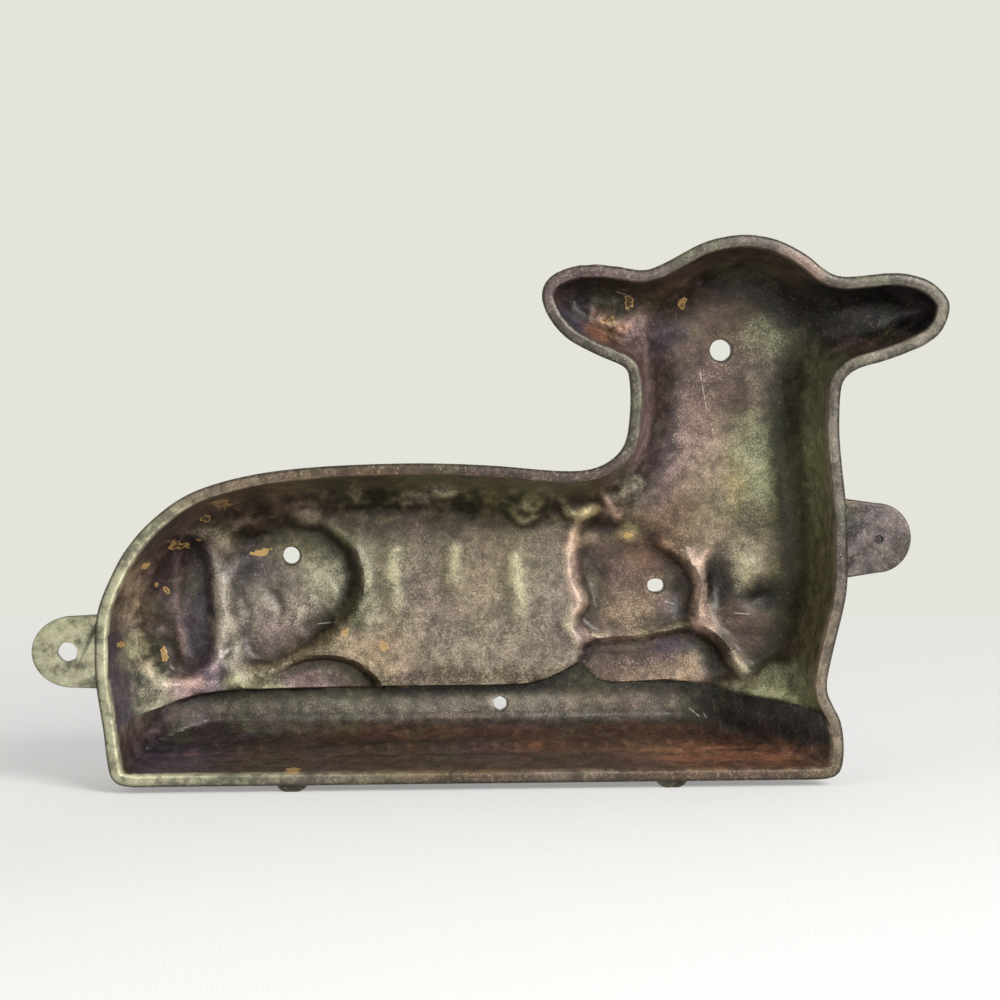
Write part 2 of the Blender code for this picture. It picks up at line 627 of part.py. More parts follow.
def box_of(piece):
    """World corners of a piece's own mesh."""
    corners = np.empty(len(piece.data.vertices) * 3)
    piece.data.vertices.foreach_get("co", corners)
    corners = corners.reshape(-1, 3) @ np.array(piece.matrix_world.to_3x3()).T
    corners += np.array(piece.matrix_world.translation)
    return corners.min(axis=0), corners.max(axis=0)


def build_mould():
    for old in list(bpy.data.objects):
        bpy.data.objects.remove(old, do_unlink=True)
    back_form = HalfForm(SHARED_RECESSES + (TAIL,), SHARED_RIDGES + (TAIL_RIDGE,), SHARED_SWELLINGS)
    front_form = HalfForm(SHARED_RECESSES, SHARED_RIDGES + FACE_RIDGES,
                          SHARED_SWELLINGS + FACE_SWELLINGS)
    back_iron = cast_iron("old cast iron, back half", BACK_COLOUR)
    front_iron = cast_iron("old cast iron, front half", FRONT_COLOUR)
    back_holes = list(VENTS.values()) + [TAB_HOLE]
    back, back_frame = build_half("back_half", back_form, back_iron, back_holes, [TAB_DIMPLE])
    front, front_frame = build_half("front_half", front_form, front_iron, [TAB_HOLE], [])
    mould = bpy.data.objects.new("mould", None)
    bpy.context.collection.objects.link(mould)
    back_frame.parent = mould
    front_frame.parent = mould
    back_frame.location = (0.0, 0.0, RIM_LIFT * MM)
    for child in list(front_frame.children):
        child.data.transform(Matrix.Scale(-1.0, 4, (0.0, 1.0, 0.0)))
        child.data.flip_normals()
    front_frame.location = (-APART_X * MM, -(APART_Y + PARTING_GAP) * MM, RIM_LIFT * MM)
    bpy.context.view_layer.update()
    pieces = [child for frame in (back_frame, front_frame) for child in frame.children
              if not child.name.split()[-1].startswith(("hole", "dimple"))]
    lows, highs = zip(*(box_of(piece) for piece in pieces))
    low, high = np.min(lows, axis=0), np.max(highs, axis=0)
    mould.location = (-0.5 * (low[0] + high[0]), -0.5 * (low[1] + high[1]), -low[2])
    return back, front


build_mould()
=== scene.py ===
import math

import bmesh
import bpy
import numpy as np
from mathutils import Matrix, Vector, kdtree, noise
from mathutils.geometry import delaunay_2d_cdt


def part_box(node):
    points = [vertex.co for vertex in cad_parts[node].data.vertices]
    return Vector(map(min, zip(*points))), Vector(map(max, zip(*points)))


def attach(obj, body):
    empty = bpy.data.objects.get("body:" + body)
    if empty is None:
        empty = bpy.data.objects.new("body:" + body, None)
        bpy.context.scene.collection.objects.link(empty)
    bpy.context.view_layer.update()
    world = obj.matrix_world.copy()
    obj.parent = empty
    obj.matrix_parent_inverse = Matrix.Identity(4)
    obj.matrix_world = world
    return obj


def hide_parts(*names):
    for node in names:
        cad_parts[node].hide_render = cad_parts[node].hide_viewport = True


# Old cast iron lamb cake mould: the open back half and its mate beside it. Drawing values are
# millimetres: x runs from rump to chest, z up from the lower edge of the rim, and depth from
# the parting face into the shell.

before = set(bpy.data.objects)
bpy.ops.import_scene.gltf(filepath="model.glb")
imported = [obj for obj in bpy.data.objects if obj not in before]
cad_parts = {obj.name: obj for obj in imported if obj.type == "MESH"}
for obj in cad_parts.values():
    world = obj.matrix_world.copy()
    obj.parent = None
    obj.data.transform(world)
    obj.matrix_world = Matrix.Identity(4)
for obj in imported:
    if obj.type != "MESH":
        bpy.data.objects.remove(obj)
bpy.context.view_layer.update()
mm = 0.001
print("frame loaded")

casting = {
    "rimWidth": 4.2,
    "wall": 4.0,
    "bodyDepth": 46.0,
    "baseDepth": 53.0,
    "roundingPower": 2.2,
    "rimLift": 2.5,
    "leftReach": 165.5,  # from the drawing's zero to the end of the left tab
    "rimSpacing": 8.0,
    "bendSpacing": 9.0,
    "rimSplit": 4,  # fine points for each coarse one
    "outsideGrid": 2.4,
    "fineGrid": 0.9,
    "fineBand": 27.0,  # how far below the rim the fleece gets the fine grid
    "castRipple": 0.28,
    "rippleSize": 14.0,
    "castGrain": 0.10,
    "grainSize": 3.2,
    "outsideRipple": 0.35,
    "outsideRippleSize": 11.0,
    "outsideSoftness": 4.0,  # how much rounder the relief is outside
    "skinFade": 5.0,
    "sharpAngle": 50.0,
    "cutFrom": -4.0,
    "cutBeyond": 30.0,
}
# across the rim face: distance in from the outer edge, depth
rimProfile = (
    (0, 1), (0.2, 0.62), (0.6, 0.34), (1.1, 0.15), (1.8, 0.03), (2.6, 0), (3.3, 0.05), (3.75, 0.22),
    (4.05, 0.55), (4.2, 0.95),
)
# rough burrs on the outer edge: x, z, reach, height
burrs = ((41.0, 187.0, 15.0, 0.45), (158.0, 157.0, 10.0, 0.5), (152.0, 183.0, 12.0, 0.25))

outline = (
    (93.5, 197.5), (106, 195.5), (116.5, 190), (124, 184), (130, 182), (139.5, 182.5), (150, 183),
    (160, 180.5), (166.5, 175), (168, 169.5), (165, 162), (158.5, 157), (146, 152), (135.5, 149),
    (130.5, 145.5), (128.5, 140), (128, 125), (129, 112), (130.5, 95), (130.5, 72), (129, 62),
    (126, 50), (123.5, 39), (122.8, 33.5), (124, 28.5), (127, 23), (128.5, 16.5), (128.7, 9),
    (127.3, 3), (122, 0.2), (105, 0), (0, 0), (-112, 0), (-130.5, 0.2), (-136.5, 2.5),
    (-138.5, 8.5), (-140, 22), (-142, 36), (-142.5, 50), (-141.2, 64), (-136.5, 76), (-130.5, 86.5),
    (-121, 97), (-107, 106.5), (-87, 112.5), (-62, 115.5), (-28, 116.5), (0, 115.5), (24, 113.3),
    (36, 113.3), (44.5, 116.3), (50.3, 122.5), (52.3, 133), (52.3, 145), (50.3, 150.3),
    (41.5, 154.5), (30.5, 160.5), (23.8, 168), (21, 176), (23.5, 182.5), (31, 186.3), (41, 187.3),
    (51, 186), (59, 185.3), (68, 189), (80, 195),
)

# depth and rounding about a few places: x, z, depth share, rounding radius
localShape = (
    (-125, 60, 0.93, 22), (-95, 85, 0.97, 26), (-30, 80, 1, 27), (30, 75, 1, 25),
    (80, 70, 0.98, 17), (112, 60, 0.95, 14), (85, 115, 0.94, 15), (93, 155, 0.86, 18),
    (93, 178, 0.78, 20), (38, 171, 0.38, 9), (152, 168, 0.42, 9.5),
)
shapeReach = 19.0  # millimetres over which one place's shape fades

# floor that rises as it goes in, upright back, rounded rump end and sloping chest end
base = {
    "floorRise": 8.0,
    "floorJoin": 46.0,
    "endSlope": 1.2,
    "endJoin": 12.0,
    "endRounding": 34.0,
    "endMargin": 1.4,
    "edgeRounding": 8.0,
    "cornerHeight": 16.5,
    "rumpShare": 0.8,
    "rumpTop": 98.0,
    "creaseSlope": 6.0,
    "ledgeSlope": 1.4,
    "cutSlope": 3.0,
    "softJoin": 2.0,
    "floorLevels": (5.0, 6.2, 7.4, 8.6, 9.8, 11.0, 12.2, 13.4, 14.6, 15.8),
}
crease = (
    (-141, 20), (-131.5, 22.5), (-121, 25), (-111, 27.8), (-95, 29.5), (-60, 30), (0, 30),
    (14, 30.4), (22, 32.2), (29, 35.4), (33.5, 38.2), (36, 38.6), (38.5, 35), (42, 31.8),
    (50, 30.6), (66, 31.4), (80, 31), (93, 28.4), (107.5, 27), (117, 25.4), (130, 20.5),
)

# recesses with a soft edge: a closed loop of x, z and the width of the edge there
haunch = {"rise": 6.8, "loop": (
    (-93, 92, 16), (-78, 95, 9), (-63, 91.5, 6.5), (-53, 83.5, 6.5), (-50, 71, 7.4),
    (-54, 59.5, 9.6), (-62, 50.5, 10.5), (-72.5, 43, 9.6), (-84, 38.5, 8), (-94, 41, 11),
    (-99, 54, 16), (-100, 76, 18),
)}
tail = {"rise": 5.6, "loop": (
    (-125, 89, 11), (-112, 88, 10), (-105, 76, 9), (-103, 58, 9), (-105, 44, 7), (-113, 36, 4.5),
    (-122, 36.5, 4.5), (-128.5, 45, 5.5), (-131, 60, 8), (-130, 76, 9),
)}
hindFoot = {"rise": 6.2, "loop": (
    (-90, 31, 7), (-80.5, 37, 3.4), (-72, 41, 3), (-62, 42, 3), (-52.5, 40, 3.5), (-46, 35.5, 4),
    (-41.5, 29, 4), (-44, 21, 4), (-88, 21, 7),
)}
foreleg = {"rise": 6.6, "loop": (
    (37, 46.5, 5.6), (46, 48.5, 6.6), (57, 49, 6.6), (67, 50.6, 6), (76, 52, 5.6), (84, 48.6, 5.8),
    (90, 41.5, 6), (93.5, 32.5, 5.6), (91, 21, 4.5), (38, 21, 4.2), (34.5, 34, 4),
)}
shoulder = {"rise": 5.2, "loop": (
    (42, 91, 16), (34.5, 81, 10), (34.5, 70, 7.6), (37.5, 62, 6.4), (34, 54.5, 5.4), (45, 47, 8),
    (66, 50, 8), (77, 54, 5.6), (77.5, 61, 5), (79, 68, 5), (74.5, 77, 7), (63, 89, 15),
)}
sharedRecesses = (haunch, hindFoot, foreleg, shoulder)

# ridges as height, width, path: a negative height stands towards the opening
bodyRidges = (
    (-2.4, 2.6, ((67, 84), (76.5, 77), (81, 69), (79.5, 60.5), (82, 53.5), (88.5, 47),
                (94, 38.5), (99, 34.5))),
    (-1.7, 2.4, ((40, 105), (31.5, 84), (31.8, 71), (35.5, 62), (30, 55), (34, 47))),
    (1.6, 1.7, ((19, 30.5), (29, 34.5), (35.5, 40))),
    (-1.5, 2, ((-57, 89), (-50, 82), (-46.5, 72), (-49.5, 58))),
    (-1.4, 2.4, ((-95, 79), (-99.5, 70), (-100, 62), (-97, 54))),
    (1.2, 2.4, ((-100.5, 46), (-102, 40), (-102, 35))),
    (-1.3, 3, ((-35.7, 82), (-36.2, 74), (-34, 62))), (-1.1, 2.8, ((-13, 82.5), (-13.5, 71))),
    (-1.2, 3, ((9.5, 79), (11, 70), (11.8, 58))),
    # thin worn lines
    (-0.7, 1, ((84.5, 84), (80.5, 75), (81.5, 67), (79.5, 60), (82.5, 53))),
    (-0.6, 0.9, ((31.5, 56), (35, 52.5), (36.8, 47))), (-0.5, 1, ((-61, 72), (-58, 66), (-60, 60))),
    (-0.6, 1.3, ((-71.5, 60), (-73.5, 54), (-70, 49))),
    (0.6, 1.6, ((-84, 69), (-79, 62), (-80, 55))), (0.5, 1.5, ((-94, 66), (-90.5, 58), (-93, 50))),
)
fleeceRidges = (
    (1.8, 2.6, ((-56, 108), (-58.5, 99.5), (-64, 92))),
    (-1.9, 1.8, ((-19, 104.5), (-15, 103.4), (-11.5, 104.6), (-8.5, 107))),
    (-1.4, 1.5, ((9.6, 98), (12, 94.4), (15, 93.2), (18, 94.6))),
    (-2.2, 1.8, ((28.3, 101.5), (30, 97.6), (34.4, 95.4), (39, 96), (41.5, 98.5))),
    (-2, 1.8, ((42, 107), (43.6, 104), (46.8, 98.5), (49.5, 93.8))),
    (-1.3, 1.9, ((-134, 62), (-132.5, 52), (-133.5, 42))),
    (-1.6, 2, ((-129, 50), (-128, 42), (-125.5, 33))),
    (-0.9, 1, ((-22.2, 107.1), (-17.7, 104.8), (-14.7, 103.6), (-11.7, 105.1))),
    (-0.8, 1.1, ((-131, 40), (-129.5, 34), (-130.5, 28))),
    (-0.8, 1.2, ((-124, 38), (-121.5, 33), (-123, 29))),
)
tailRidges = ((-1.3, 1.9, ((-117.0, 82.0), (-118.5, 62.0), (-116.0, 44.0))),)
faceRidges = (
    (-3.4, 1.6, ((83.5, 131.5), (88, 128.6), (93, 130.4), (98, 128.6), (102.5, 131.5))),
    (-2.6, 1.4, ((93, 136.5), (93, 130.6))), (-2.6, 3.6, ((31, 172), (42, 175), (53, 176))),
    (-2.6, 3.6, ((158, 168), (146, 172), (134, 173))),
    (-3.6, 1.5, ((71, 161.5), (74, 166.4), (79, 168.2), (84.5, 165.6), (86.5, 161))),
    (-3.6, 1.5, ((99.5, 161), (101.5, 165.6), (107, 168.2), (112, 166.4), (115, 161.5))),
    (-2.4, 1.4, ((72, 160), (78, 157), (85.5, 160))),
    (-2.4, 1.4, ((100.5, 160), (108, 157), (114, 160))),
)
# curled locks as part of a ring: x, z, radius, from and to in degrees, height, width
curledLocks = (
    (17.2, 100.9, 3.5, 0, 360, -1, 1), (17.2, 101.5, 1.2, 0, 360, 0.9, 1.3),
    (35.5, 99.2, 4.4, 190, 350, -1.1, 0.9), (34.8, 99.6, 2.1, 0, 360, -0.8, 0.8),
    (13.6, 96, 3.6, 180, 335, -0.8, 0.9), (-26.5, 103, 4.4, 20, 150, -0.7, 1.1),
    (-67, 96.5, 5, 30, 160, -0.8, 1.2), (-91, 94.5, 5.2, 15, 140, -0.7, 1.2),
    (-50.5, 105, 3.8, -60, 80, -0.8, 1.1), (2, 104, 3.4, 100, 290, -0.7, 1),
    (54.5, 105.5, 4.4, 30, 230, -0.8, 1.1), (54, 106, 1.8, 200, 420, -0.6, 0.9),
    (-109, 92, 4.2, 20, 170, -0.7, 1.2), (-38, 104.5, 3.6, 180, 330, -0.7, 1.1),
)
fleece = {
    "band": 25.0, "fade": 10.0, "end": 58.0, "endFade": 8.0, "lumpSize": 12.0, "lumpHeight": 2.6,
    "lockSize": 6.0, "lockHeight": 0.5, "lockSharpness": 2.5, "curlHeight": 0.7, "curlWidth": 1.15,
    "topSpan": (50.0, 60.0, 118.0),  # the rim above the fleece: up to x, from z, to z
    "rumpShare": 0.6, "rumpEdge": -112.0, "rumpFade": 14.0, "rumpFoot": 26.0, "rumpFootFade": 4.0,
}

# round swellings: x, z, half width, half height, depth added
bodySwellings = (
    (87.5, 68.5, 5.5, 10, 3.6), (105, 63.2, 9, 4.5, 2.8), (99, 75, 6, 5.5, -1.6),
    (-97, 34, 3, 3.5, -1.4), (-99.7, 46, 3.5, 4.5, 1.8), (-80.7, 65.5, 4, 5, 1.3),
    (41.5, 72.4, 4.5, 8.5, 1.6), (72.8, 64.5, 4, 6.5, 2), (83, 42, 4, 8, 1.4), (112, 138, 8, 22, 2),
    (104, 106, 8, 14, -1.8), (84, 128, 9, 16, -1.2), (-67, 95.5, 5.5, 4, -3.2),
    (-90.5, 94, 6.5, 3.6, -2.6), (-98.5, 86, 5.5, 4.5, -2.4), (-85, 101.5, 3.5, 4.5, 2.8),
    (-92, 88, 4.5, 4, 1.5), (-40.3, 105, 5, 4.5, 3.6), (-49.7, 104.5, 4, 5.5, -2.4),
    (-28.3, 103, 6.5, 3.6, -2.4), (-19.6, 108.5, 3.6, 3.2, 2.4), (-41, 98.5, 9, 3, 1.8),
    (-7.3, 97, 4.5, 4.5, 2.4), (17.2, 103, 5.5, 5.5, -3), (35, 101.5, 4.5, 4, 3.2),
    (54, 105, 5.5, 5, -2.4), (41.5, 90.5, 7.5, 3.2, 2.2), (53, 87.3, 4.5, 3.5, -1.6),
    (-109.5, 92, 5, 4, -2), (2, 104, 4.5, 4, -2),
)
faceSwellings = (
    (93, 147, 11, 18, 15), (93, 137, 9, 7, 5), (93, 114, 20, 11, -9), (74, 137, 7, 10, -4),
    (112, 137, 7, 10, -4), (79, 162.4, 3.6, 2.6, 4.4), (107, 162.4, 3.6, 2.6, 4.4),
    (88.6, 138.4, 1.8, 1.5, -3.4), (97.4, 138.4, 1.8, 1.5, -3.4), (93, 176, 15, 9, 4),
    (72, 150, 8, 9, 3), (114, 150, 8, 9, 3),
)


def curveThrough(a, b, c, d, t):
    # a smooth curve from b to c, with a and d as the points on either side
    return 0.5 * (2 * b + (c - a) * t + (2 * a - 5 * b + 4 * c - d) * t ** 2
                  + (3 * b - a - 3 * c + d) * t ** 3)


def smoothPath(points, spacing, closed, bendSpacing=0.0, finePoints=24):
    points = np.array(points, dtype=float)
    count = len(points)
    if closed:
        before, last = np.roll(points, 1, axis=0), np.roll(points, -1, axis=0)
        beyond = np.roll(points, -2, axis=0)
        spans = range(count)
    else:
        padded = np.vstack([2 * points[0] - points[1], points, 2 * points[-1] - points[-2]])
        before, last, beyond = padded[:-3], padded[2:-1], padded[3:]
        spans = range(count - 1)
    t = np.linspace(0.0, 1.0, finePoints, endpoint=False)[:, None]
    dense = [curveThrough(before[i], points[i], last[i], beyond[i], t) for i in spans]
    dense = np.vstack(dense + [points[:1] if closed else points[-1:]])
    span = np.diff(dense[:, :2], axis=0)
    heading = np.unwrap(np.arctan2(span[:, 1], span[:, 0]))
    turn = np.abs(np.diff(heading, prepend=heading[:1]))
    along = np.concatenate([[0.0], np.cumsum(np.hypot(*span.T) + bendSpacing * turn)])
    wanted = np.linspace(0.0, along[-1], max(3, round(along[-1] / spacing)) + 1)
    if closed:
        wanted = wanted[:-1]
    return np.column_stack([np.interp(wanted, along, column) for column in dense.T])


def splitLoop(points, parts):
    # the same number of fine points in each span, so that two loops stay matched
    a, b = np.roll(points, 1, axis=0), points
    c, d = np.roll(points, -1, axis=0), np.roll(points, -2, axis=0)
    rows = [curveThrough(a, b, c, d, t) for t in np.linspace(0.0, 1.0, parts, endpoint=False)]
    return np.stack(rows, axis=1).reshape(-1, 2)


def inwardNormals(loop):
    tangent = np.roll(loop, -1, axis=0) - np.roll(loop, 1, axis=0)
    tangent /= np.linalg.norm(tangent, axis=1)[:, None]
    return np.column_stack([tangent[:, 1], -tangent[:, 0]])


def nearestOnPath(points, path, closed, batch=4000):
    starts = path if closed else path[:-1]
    ends = np.roll(path, -1, axis=0) if closed else path[1:]
    span = ends[:, :2] - starts[:, :2]
    length = (span ** 2).sum(-1) + 1e-12
    gaps, values = [], []
    for low in range(0, len(points), batch):
        part = points[low:low + batch]
        reach = part[:, None, :] - starts[None, :, :2]
        share = np.clip((reach * span).sum(-1) / length, 0.0, 1.0)
        gap = np.linalg.norm(reach - share[..., None] * span, axis=-1)
        best = gap.argmin(axis=1)
        rows = np.arange(len(part))
        gaps.append(gap[rows, best])
        if path.shape[1] > 2:
            ratio = share[rows, best]
            values.append(starts[best, 2] + ratio * (ends[best, 2] - starts[best, 2]))
    return np.concatenate(gaps), np.concatenate(values) if values else None


def isInside(points, loop):
    x0, z0 = loop[:, 0], loop[:, 1]
    x1, z1 = np.roll(x0, -1), np.roll(z0, -1)
    rise = np.where(z1 == z0, 1e-12, z1 - z0)
    x, z = points[:, 0, None], points[:, 1, None]
    crossing = ((z0 > z) != (z1 > z)) & (x < x0 + (z - z0) / rise * (x1 - x0))
    return crossing.sum(axis=1) % 2 == 1


def isNear(points, path, reach):
    low, high = path[:, :2].min(axis=0) - reach, path[:, :2].max(axis=0) + reach
    return ((points > low) & (points < high)).all(axis=1)


class RimEdge:
    # a closed edge of the rim that tells quickly how far inside it a place lies
    def __init__(self, loop):
        self.loop = loop
        self.normals = inwardNormals(loop)
        self.tree = kdtree.KDTree(len(loop))
        for i, (x, z) in enumerate(loop):
            self.tree.insert((x, z, 0.0), i)
        self.tree.balance()

    def inset(self, points):
        near = np.array([self.tree.find((x, z, 0.0))[1] for x, z in points])
        gaps, sides = [], []
        for step in (-1, 0):
            start = self.loop[(near + step) % len(self.loop)]
            span = self.loop[(near + step + 1) % len(self.loop)] - start
            reach = points - start
            share = np.clip((reach * span).sum(-1) / (span ** 2).sum(-1), 0.0, 1.0)
            gaps.append(np.hypot(*(reach - share[:, None] * span).T))
            sides.append(reach[:, 0] * span[:, 1] - reach[:, 1] * span[:, 0])
        atPoint = ((points - self.loop[near]) * self.normals[near]).sum(-1)
        side = np.where(gaps[0] < gaps[1], sides[0], sides[1])
        side = np.where(np.abs(gaps[0] - gaps[1]) < 1e-9, atPoint, side)
        return np.where(side >= 0.0, 1.0, -1.0) * np.minimum(*gaps)


def smoothStep(value):
    value = np.clip(value, 0.0, 1.0)
    return value * value * (3.0 - 2.0 * value)


def softMinimum(a, b, join):
    blend = np.clip(0.5 + 0.5 * (b - a) / join, 0.0, 1.0)
    return b + (a - b) * blend - join * blend * (1.0 - blend)


def softMaximum(a, b, join):
    return -softMinimum(-a, -b, join)


def roundedWall(inset, radius):
    share = np.clip(inset / radius, 0.0, 1.0)
    power = casting["roundingPower"]
    return (1.0 - (1.0 - share) ** power) ** (1.0 / power)


def creaseHeight(x):
    line = np.array(crease)
    return np.interp(x, line[:, 0], line[:, 1])


def fractal(points, size, octaves, seed, fade=0.6, gap=2.1):
    # soft noise from -1 to 1 with features of that size in millimetres
    offset = Vector((seed * 7.3, seed * 3.1, seed * 11.7))
    return np.array([noise.fractal(Vector((x, seed, z)) / size + offset, fade, gap, octaves)
                     for x, z in points])


def arcPath(x, z, radius, start, end):
    turns = np.radians(np.linspace(start, end, 9))
    return [(x + radius * math.cos(a), z + radius * math.sin(a)) for a in turns]


reliefEdge = {
    "ridgeStep": 2.0,
    "recessStep": 3.0,
    "recessReach": 10.0,
    "outsideShift": 0.6,
    "join": 1.6,  # softness where two recesses meet
    "settle": 0.4,
    "ridgeReach": 3.0,
    "spread": 0.5,
    "rimFade": 9.0,
    "burrSize": 1.6,
}


class HalfForm:
    # the surfaces of one half as depth over the drawing
    def __init__(self, half):
        self.recesses = half["recesses"]
        locks = [(fleece["curlHeight"] * height, fleece["curlWidth"] * width, arcPath(*ring))
                 for *ring, height, width in curledLocks]
        self.ridges = [(height, width, smoothPath(path, reliefEdge["ridgeStep"], False))
                       for height, width, path in (*half["ridges"], *locks)]
        self.swellings = half["swellings"]
        self.seed = half["seed"]
        coarse = smoothPath(outline, casting["rimSpacing"], True, casting["bendSpacing"])
        within = coarse + inwardNormals(coarse) * casting["rimWidth"]
        outer = splitLoop(coarse, casting["rimSplit"])
        outward = -inwardNormals(outer)
        for x, z, reach, height in burrs:
            fade = np.exp(-(((outer - (x, z)) / reach) ** 2).sum(axis=1))
            rough = np.maximum(0.0, fractal(outer, reliefEdge["burrSize"], 2, half["seed"] + 20))
            outer = outer + outward * (height * fade * rough)[:, None]
        self.outerEdge = RimEdge(outer)
        self.innerEdge = RimEdge(splitLoop(within, casting["rimSplit"]))
        self.floorSlope = casting["baseDepth"] / base["floorRise"]
        self.baseEnd = outer[outer[:, 1] < base["cornerHeight"]][:, 0].max()
        end, low, high = fleece["topSpan"]
        top = outer[(outer[:, 0] < end) & (outer[:, 1] > low) & (outer[:, 1] < high)]
        self.topLine = top[np.argsort(top[:, 0])]

    def relief(self, points, inset, softening):
        rule = reliefEdge
        total = np.zeros(len(points))
        for recess in self.recesses:
            loop = smoothPath(recess["loop"], rule["recessStep"], True)
            near = isNear(points, loop, rule["recessReach"] + softening)
            if not near.any():
                continue
            distance, width = nearestOnPath(points[near], loop, True)
            distance = np.where(isInside(points[near], loop[:, :2]), distance, -distance)
            share = (distance + rule["outsideShift"] * softening) / (width + softening) + 0.5
            deeper = recess["rise"] * smoothStep(share)
            joined = softMaximum(total[near], deeper, rule["join"])
            joined -= rule["settle"] * (1.0 - smoothStep(deeper / rule["join"]))
            total[near] = np.where(deeper > 0.0, joined, total[near])
        spread = rule["spread"] * softening
        for height, width, path in self.ridges:
            wide = width + spread
            near = isNear(points, path, rule["ridgeReach"] * wide)
            if near.any():
                gap, _ = nearestOnPath(points[near], path, False)
                total[near] += height * width / wide * np.exp(-(gap / wide) ** 2)
        for x, z, halfWidth, halfHeight, rise in self.swellings:
            offset = (points - (x, z)) / (halfWidth + spread, halfHeight + spread)
            total += rise * np.exp(-(offset ** 2).sum(axis=1))
        if softening == 0.0:
            total += self.fleeceLocks(points)
        return total * smoothStep(inset / rule["rimFade"])

    def fleeceLocks(self, points):
        # uneven wool under the top of the rim and down the rump
        x, z = points.T
        below = np.interp(x, *self.topLine.T) - z
        share = smoothStep((fleece["band"] - below) / fleece["fade"])
        share *= smoothStep((fleece["end"] - x) / fleece["endFade"])
        rump = smoothStep((fleece["rumpEdge"] - x) / fleece["rumpFade"])
        rump *= smoothStep((z - fleece["rumpFoot"]) / fleece["rumpFootFade"])
        share = np.maximum(share, fleece["rumpShare"] * rump)
        woolly = share > 0.01
        total = np.zeros(len(points))
        spots = points[woolly]
        lumps = fractal(spots, fleece["lumpSize"], 2, self.seed + 30)
        locks = fractal(spots, fleece["lockSize"], 2, self.seed + 31)
        locks = 1.0 - fleece["lockSharpness"] * np.abs(locks)
        total[woolly] = share[woolly] * (fleece["lumpHeight"] * lumps
                                         - fleece["lockHeight"] * locks)
        return total

    def depth(self, points, edge, grow, softening):
        inset = np.maximum(edge.inset(points), 0.0)
        table = np.array(localShape)
        squared = ((points[:, None, :] - table[None, :, :2]) ** 2).sum(-1)
        weight = np.exp(-squared / (2.0 * shapeReach ** 2)) + 1e-9
        weight /= weight.sum(axis=1)[:, None]
        share, radius = weight @ table[:, 2], weight @ table[:, 3]
        margin = casting["rimWidth"] if grow else 0.0
        body = (casting["bodyDepth"] * share + grow) * roundedWall(inset, radius + margin)
        body += self.relief(points, np.maximum(inset - margin, 0.0), softening)
        height, line = points[:, 1], creaseHeight(points[:, 0])
        lip = (casting["baseDepth"] + grow) * roundedWall(inset, base["edgeRounding"] + margin)
        below = np.minimum(self.baseDepth(points, height, edge, margin, grow), lip)
        below -= base["creaseSlope"] * np.maximum(0.0, height - line - grow)
        ledge = np.minimum(self.baseDepth(points, line - grow, edge, margin, grow), lip)
        over = height - line + grow
        ledge += base["ledgeSlope"] * np.maximum(over, 0.0) + base["softJoin"]
        body = softMinimum(body, ledge, base["softJoin"])
        body -= base["cutSlope"] * np.maximum(-over, 0.0)
        return np.maximum(body, below)

    def baseDepth(self, points, height, edge, margin, grow):
        x, full = points[:, 0], casting["baseDepth"] + grow
        floor = self.floorSlope * (height - casting["rimWidth"] + margin)
        depth = softMinimum(floor, full, base["floorJoin"])
        end = self.baseEnd - casting["rimWidth"] + base["endMargin"] * margin
        end = base["endSlope"] * (end - x)
        join = np.clip(0.5 * np.minimum(depth, end), 0.5 * base["softJoin"], base["endJoin"])
        depth = softMinimum(depth, end, join)
        loop = edge.loop
        rump = loop[loop[:, 0] < base["rumpShare"] * loop[:, 0].min()]
        rump = rump[rump[:, 1] < base["rumpTop"]]
        rump = rump[np.argsort(rump[:, 1])]
        beyond = x - np.interp(height, rump[:, 1], rump[:, 0])
        return np.minimum(depth, full * roundedWall(beyond, base["endRounding"] + margin))

    def inner(self, points):
        return self.depth(points, self.innerEdge, 0.0, 0.0)

    def outer(self, points):
        return self.depth(points, self.outerEdge, casting["wall"], casting["outsideSoftness"])

    def roughInner(self, points):
        fade = smoothStep(self.innerEdge.inset(points) / casting["skinFade"])
        skin = casting["castRipple"] * fractal(points, casting["rippleSize"], 3, self.seed)
        skin += casting["castGrain"] * fractal(points, casting["grainSize"], 2, self.seed + 5)
        return self.inner(points) + skin * fade

    def roughOuter(self, points):
        fade = smoothStep(self.outerEdge.inset(points) / casting["skinFade"])
        size = casting["outsideRippleSize"]
        return self.outer(points) + casting["outsideRipple"] * fade * fractal(
            points, size, 3, self.seed + 7)


# how closely points lie on the drawing before they become faces, in millimetres
meshing = {
    "ringKeep": 0.93,
    "ringGap": 0.5,
    "rowGap": 0.6,
    "fineClear": 0.4,
    "fineShare": 0.55,
    "gridShare": 0.62,
    "fleeceEnd": 60.0,
    "insideRings": (0.25, 0.7, 1.3, 2.1, 3.1, 4.3),
    "outsideRings": (0.35, 1.0, 2.1, 3.8, 6.2),
    "creaseStep": 1.1,
    "creaseLifts": (-1.3, -0.6, 0.0, 0.6, 1.3),
    "outsideLifts": (-0.8, 0.0, 1.2),
    "floorSpan": (-140.0, 130.0, 1.6),
    "recessStep": 1.3,
    "recessShares": (-0.45, 0.0, 0.45),
}


def thinOut(points, cell):
    return points[np.unique(np.round(points / cell).astype(int), axis=0, return_index=True)[1]]


def evenGrid(low, high, spacing):
    rows = []
    for i, z in enumerate(np.arange(low[1], high[1], spacing * math.sqrt(0.75))):
        places = np.arange(low[0] + (i % 2) * spacing / 2.0, high[0], spacing)
        rows.append(np.column_stack([places, np.full(len(places), z)]))
    return np.vstack(rows)


def keepClear(grid, others, gap):
    tree = kdtree.KDTree(len(others))
    for i, (x, z) in enumerate(others):
        tree.insert((x, z, 0.0), i)
    tree.balance()
    return grid[[tree.find((x, z, 0.0))[2] > gap for x, z in grid]]


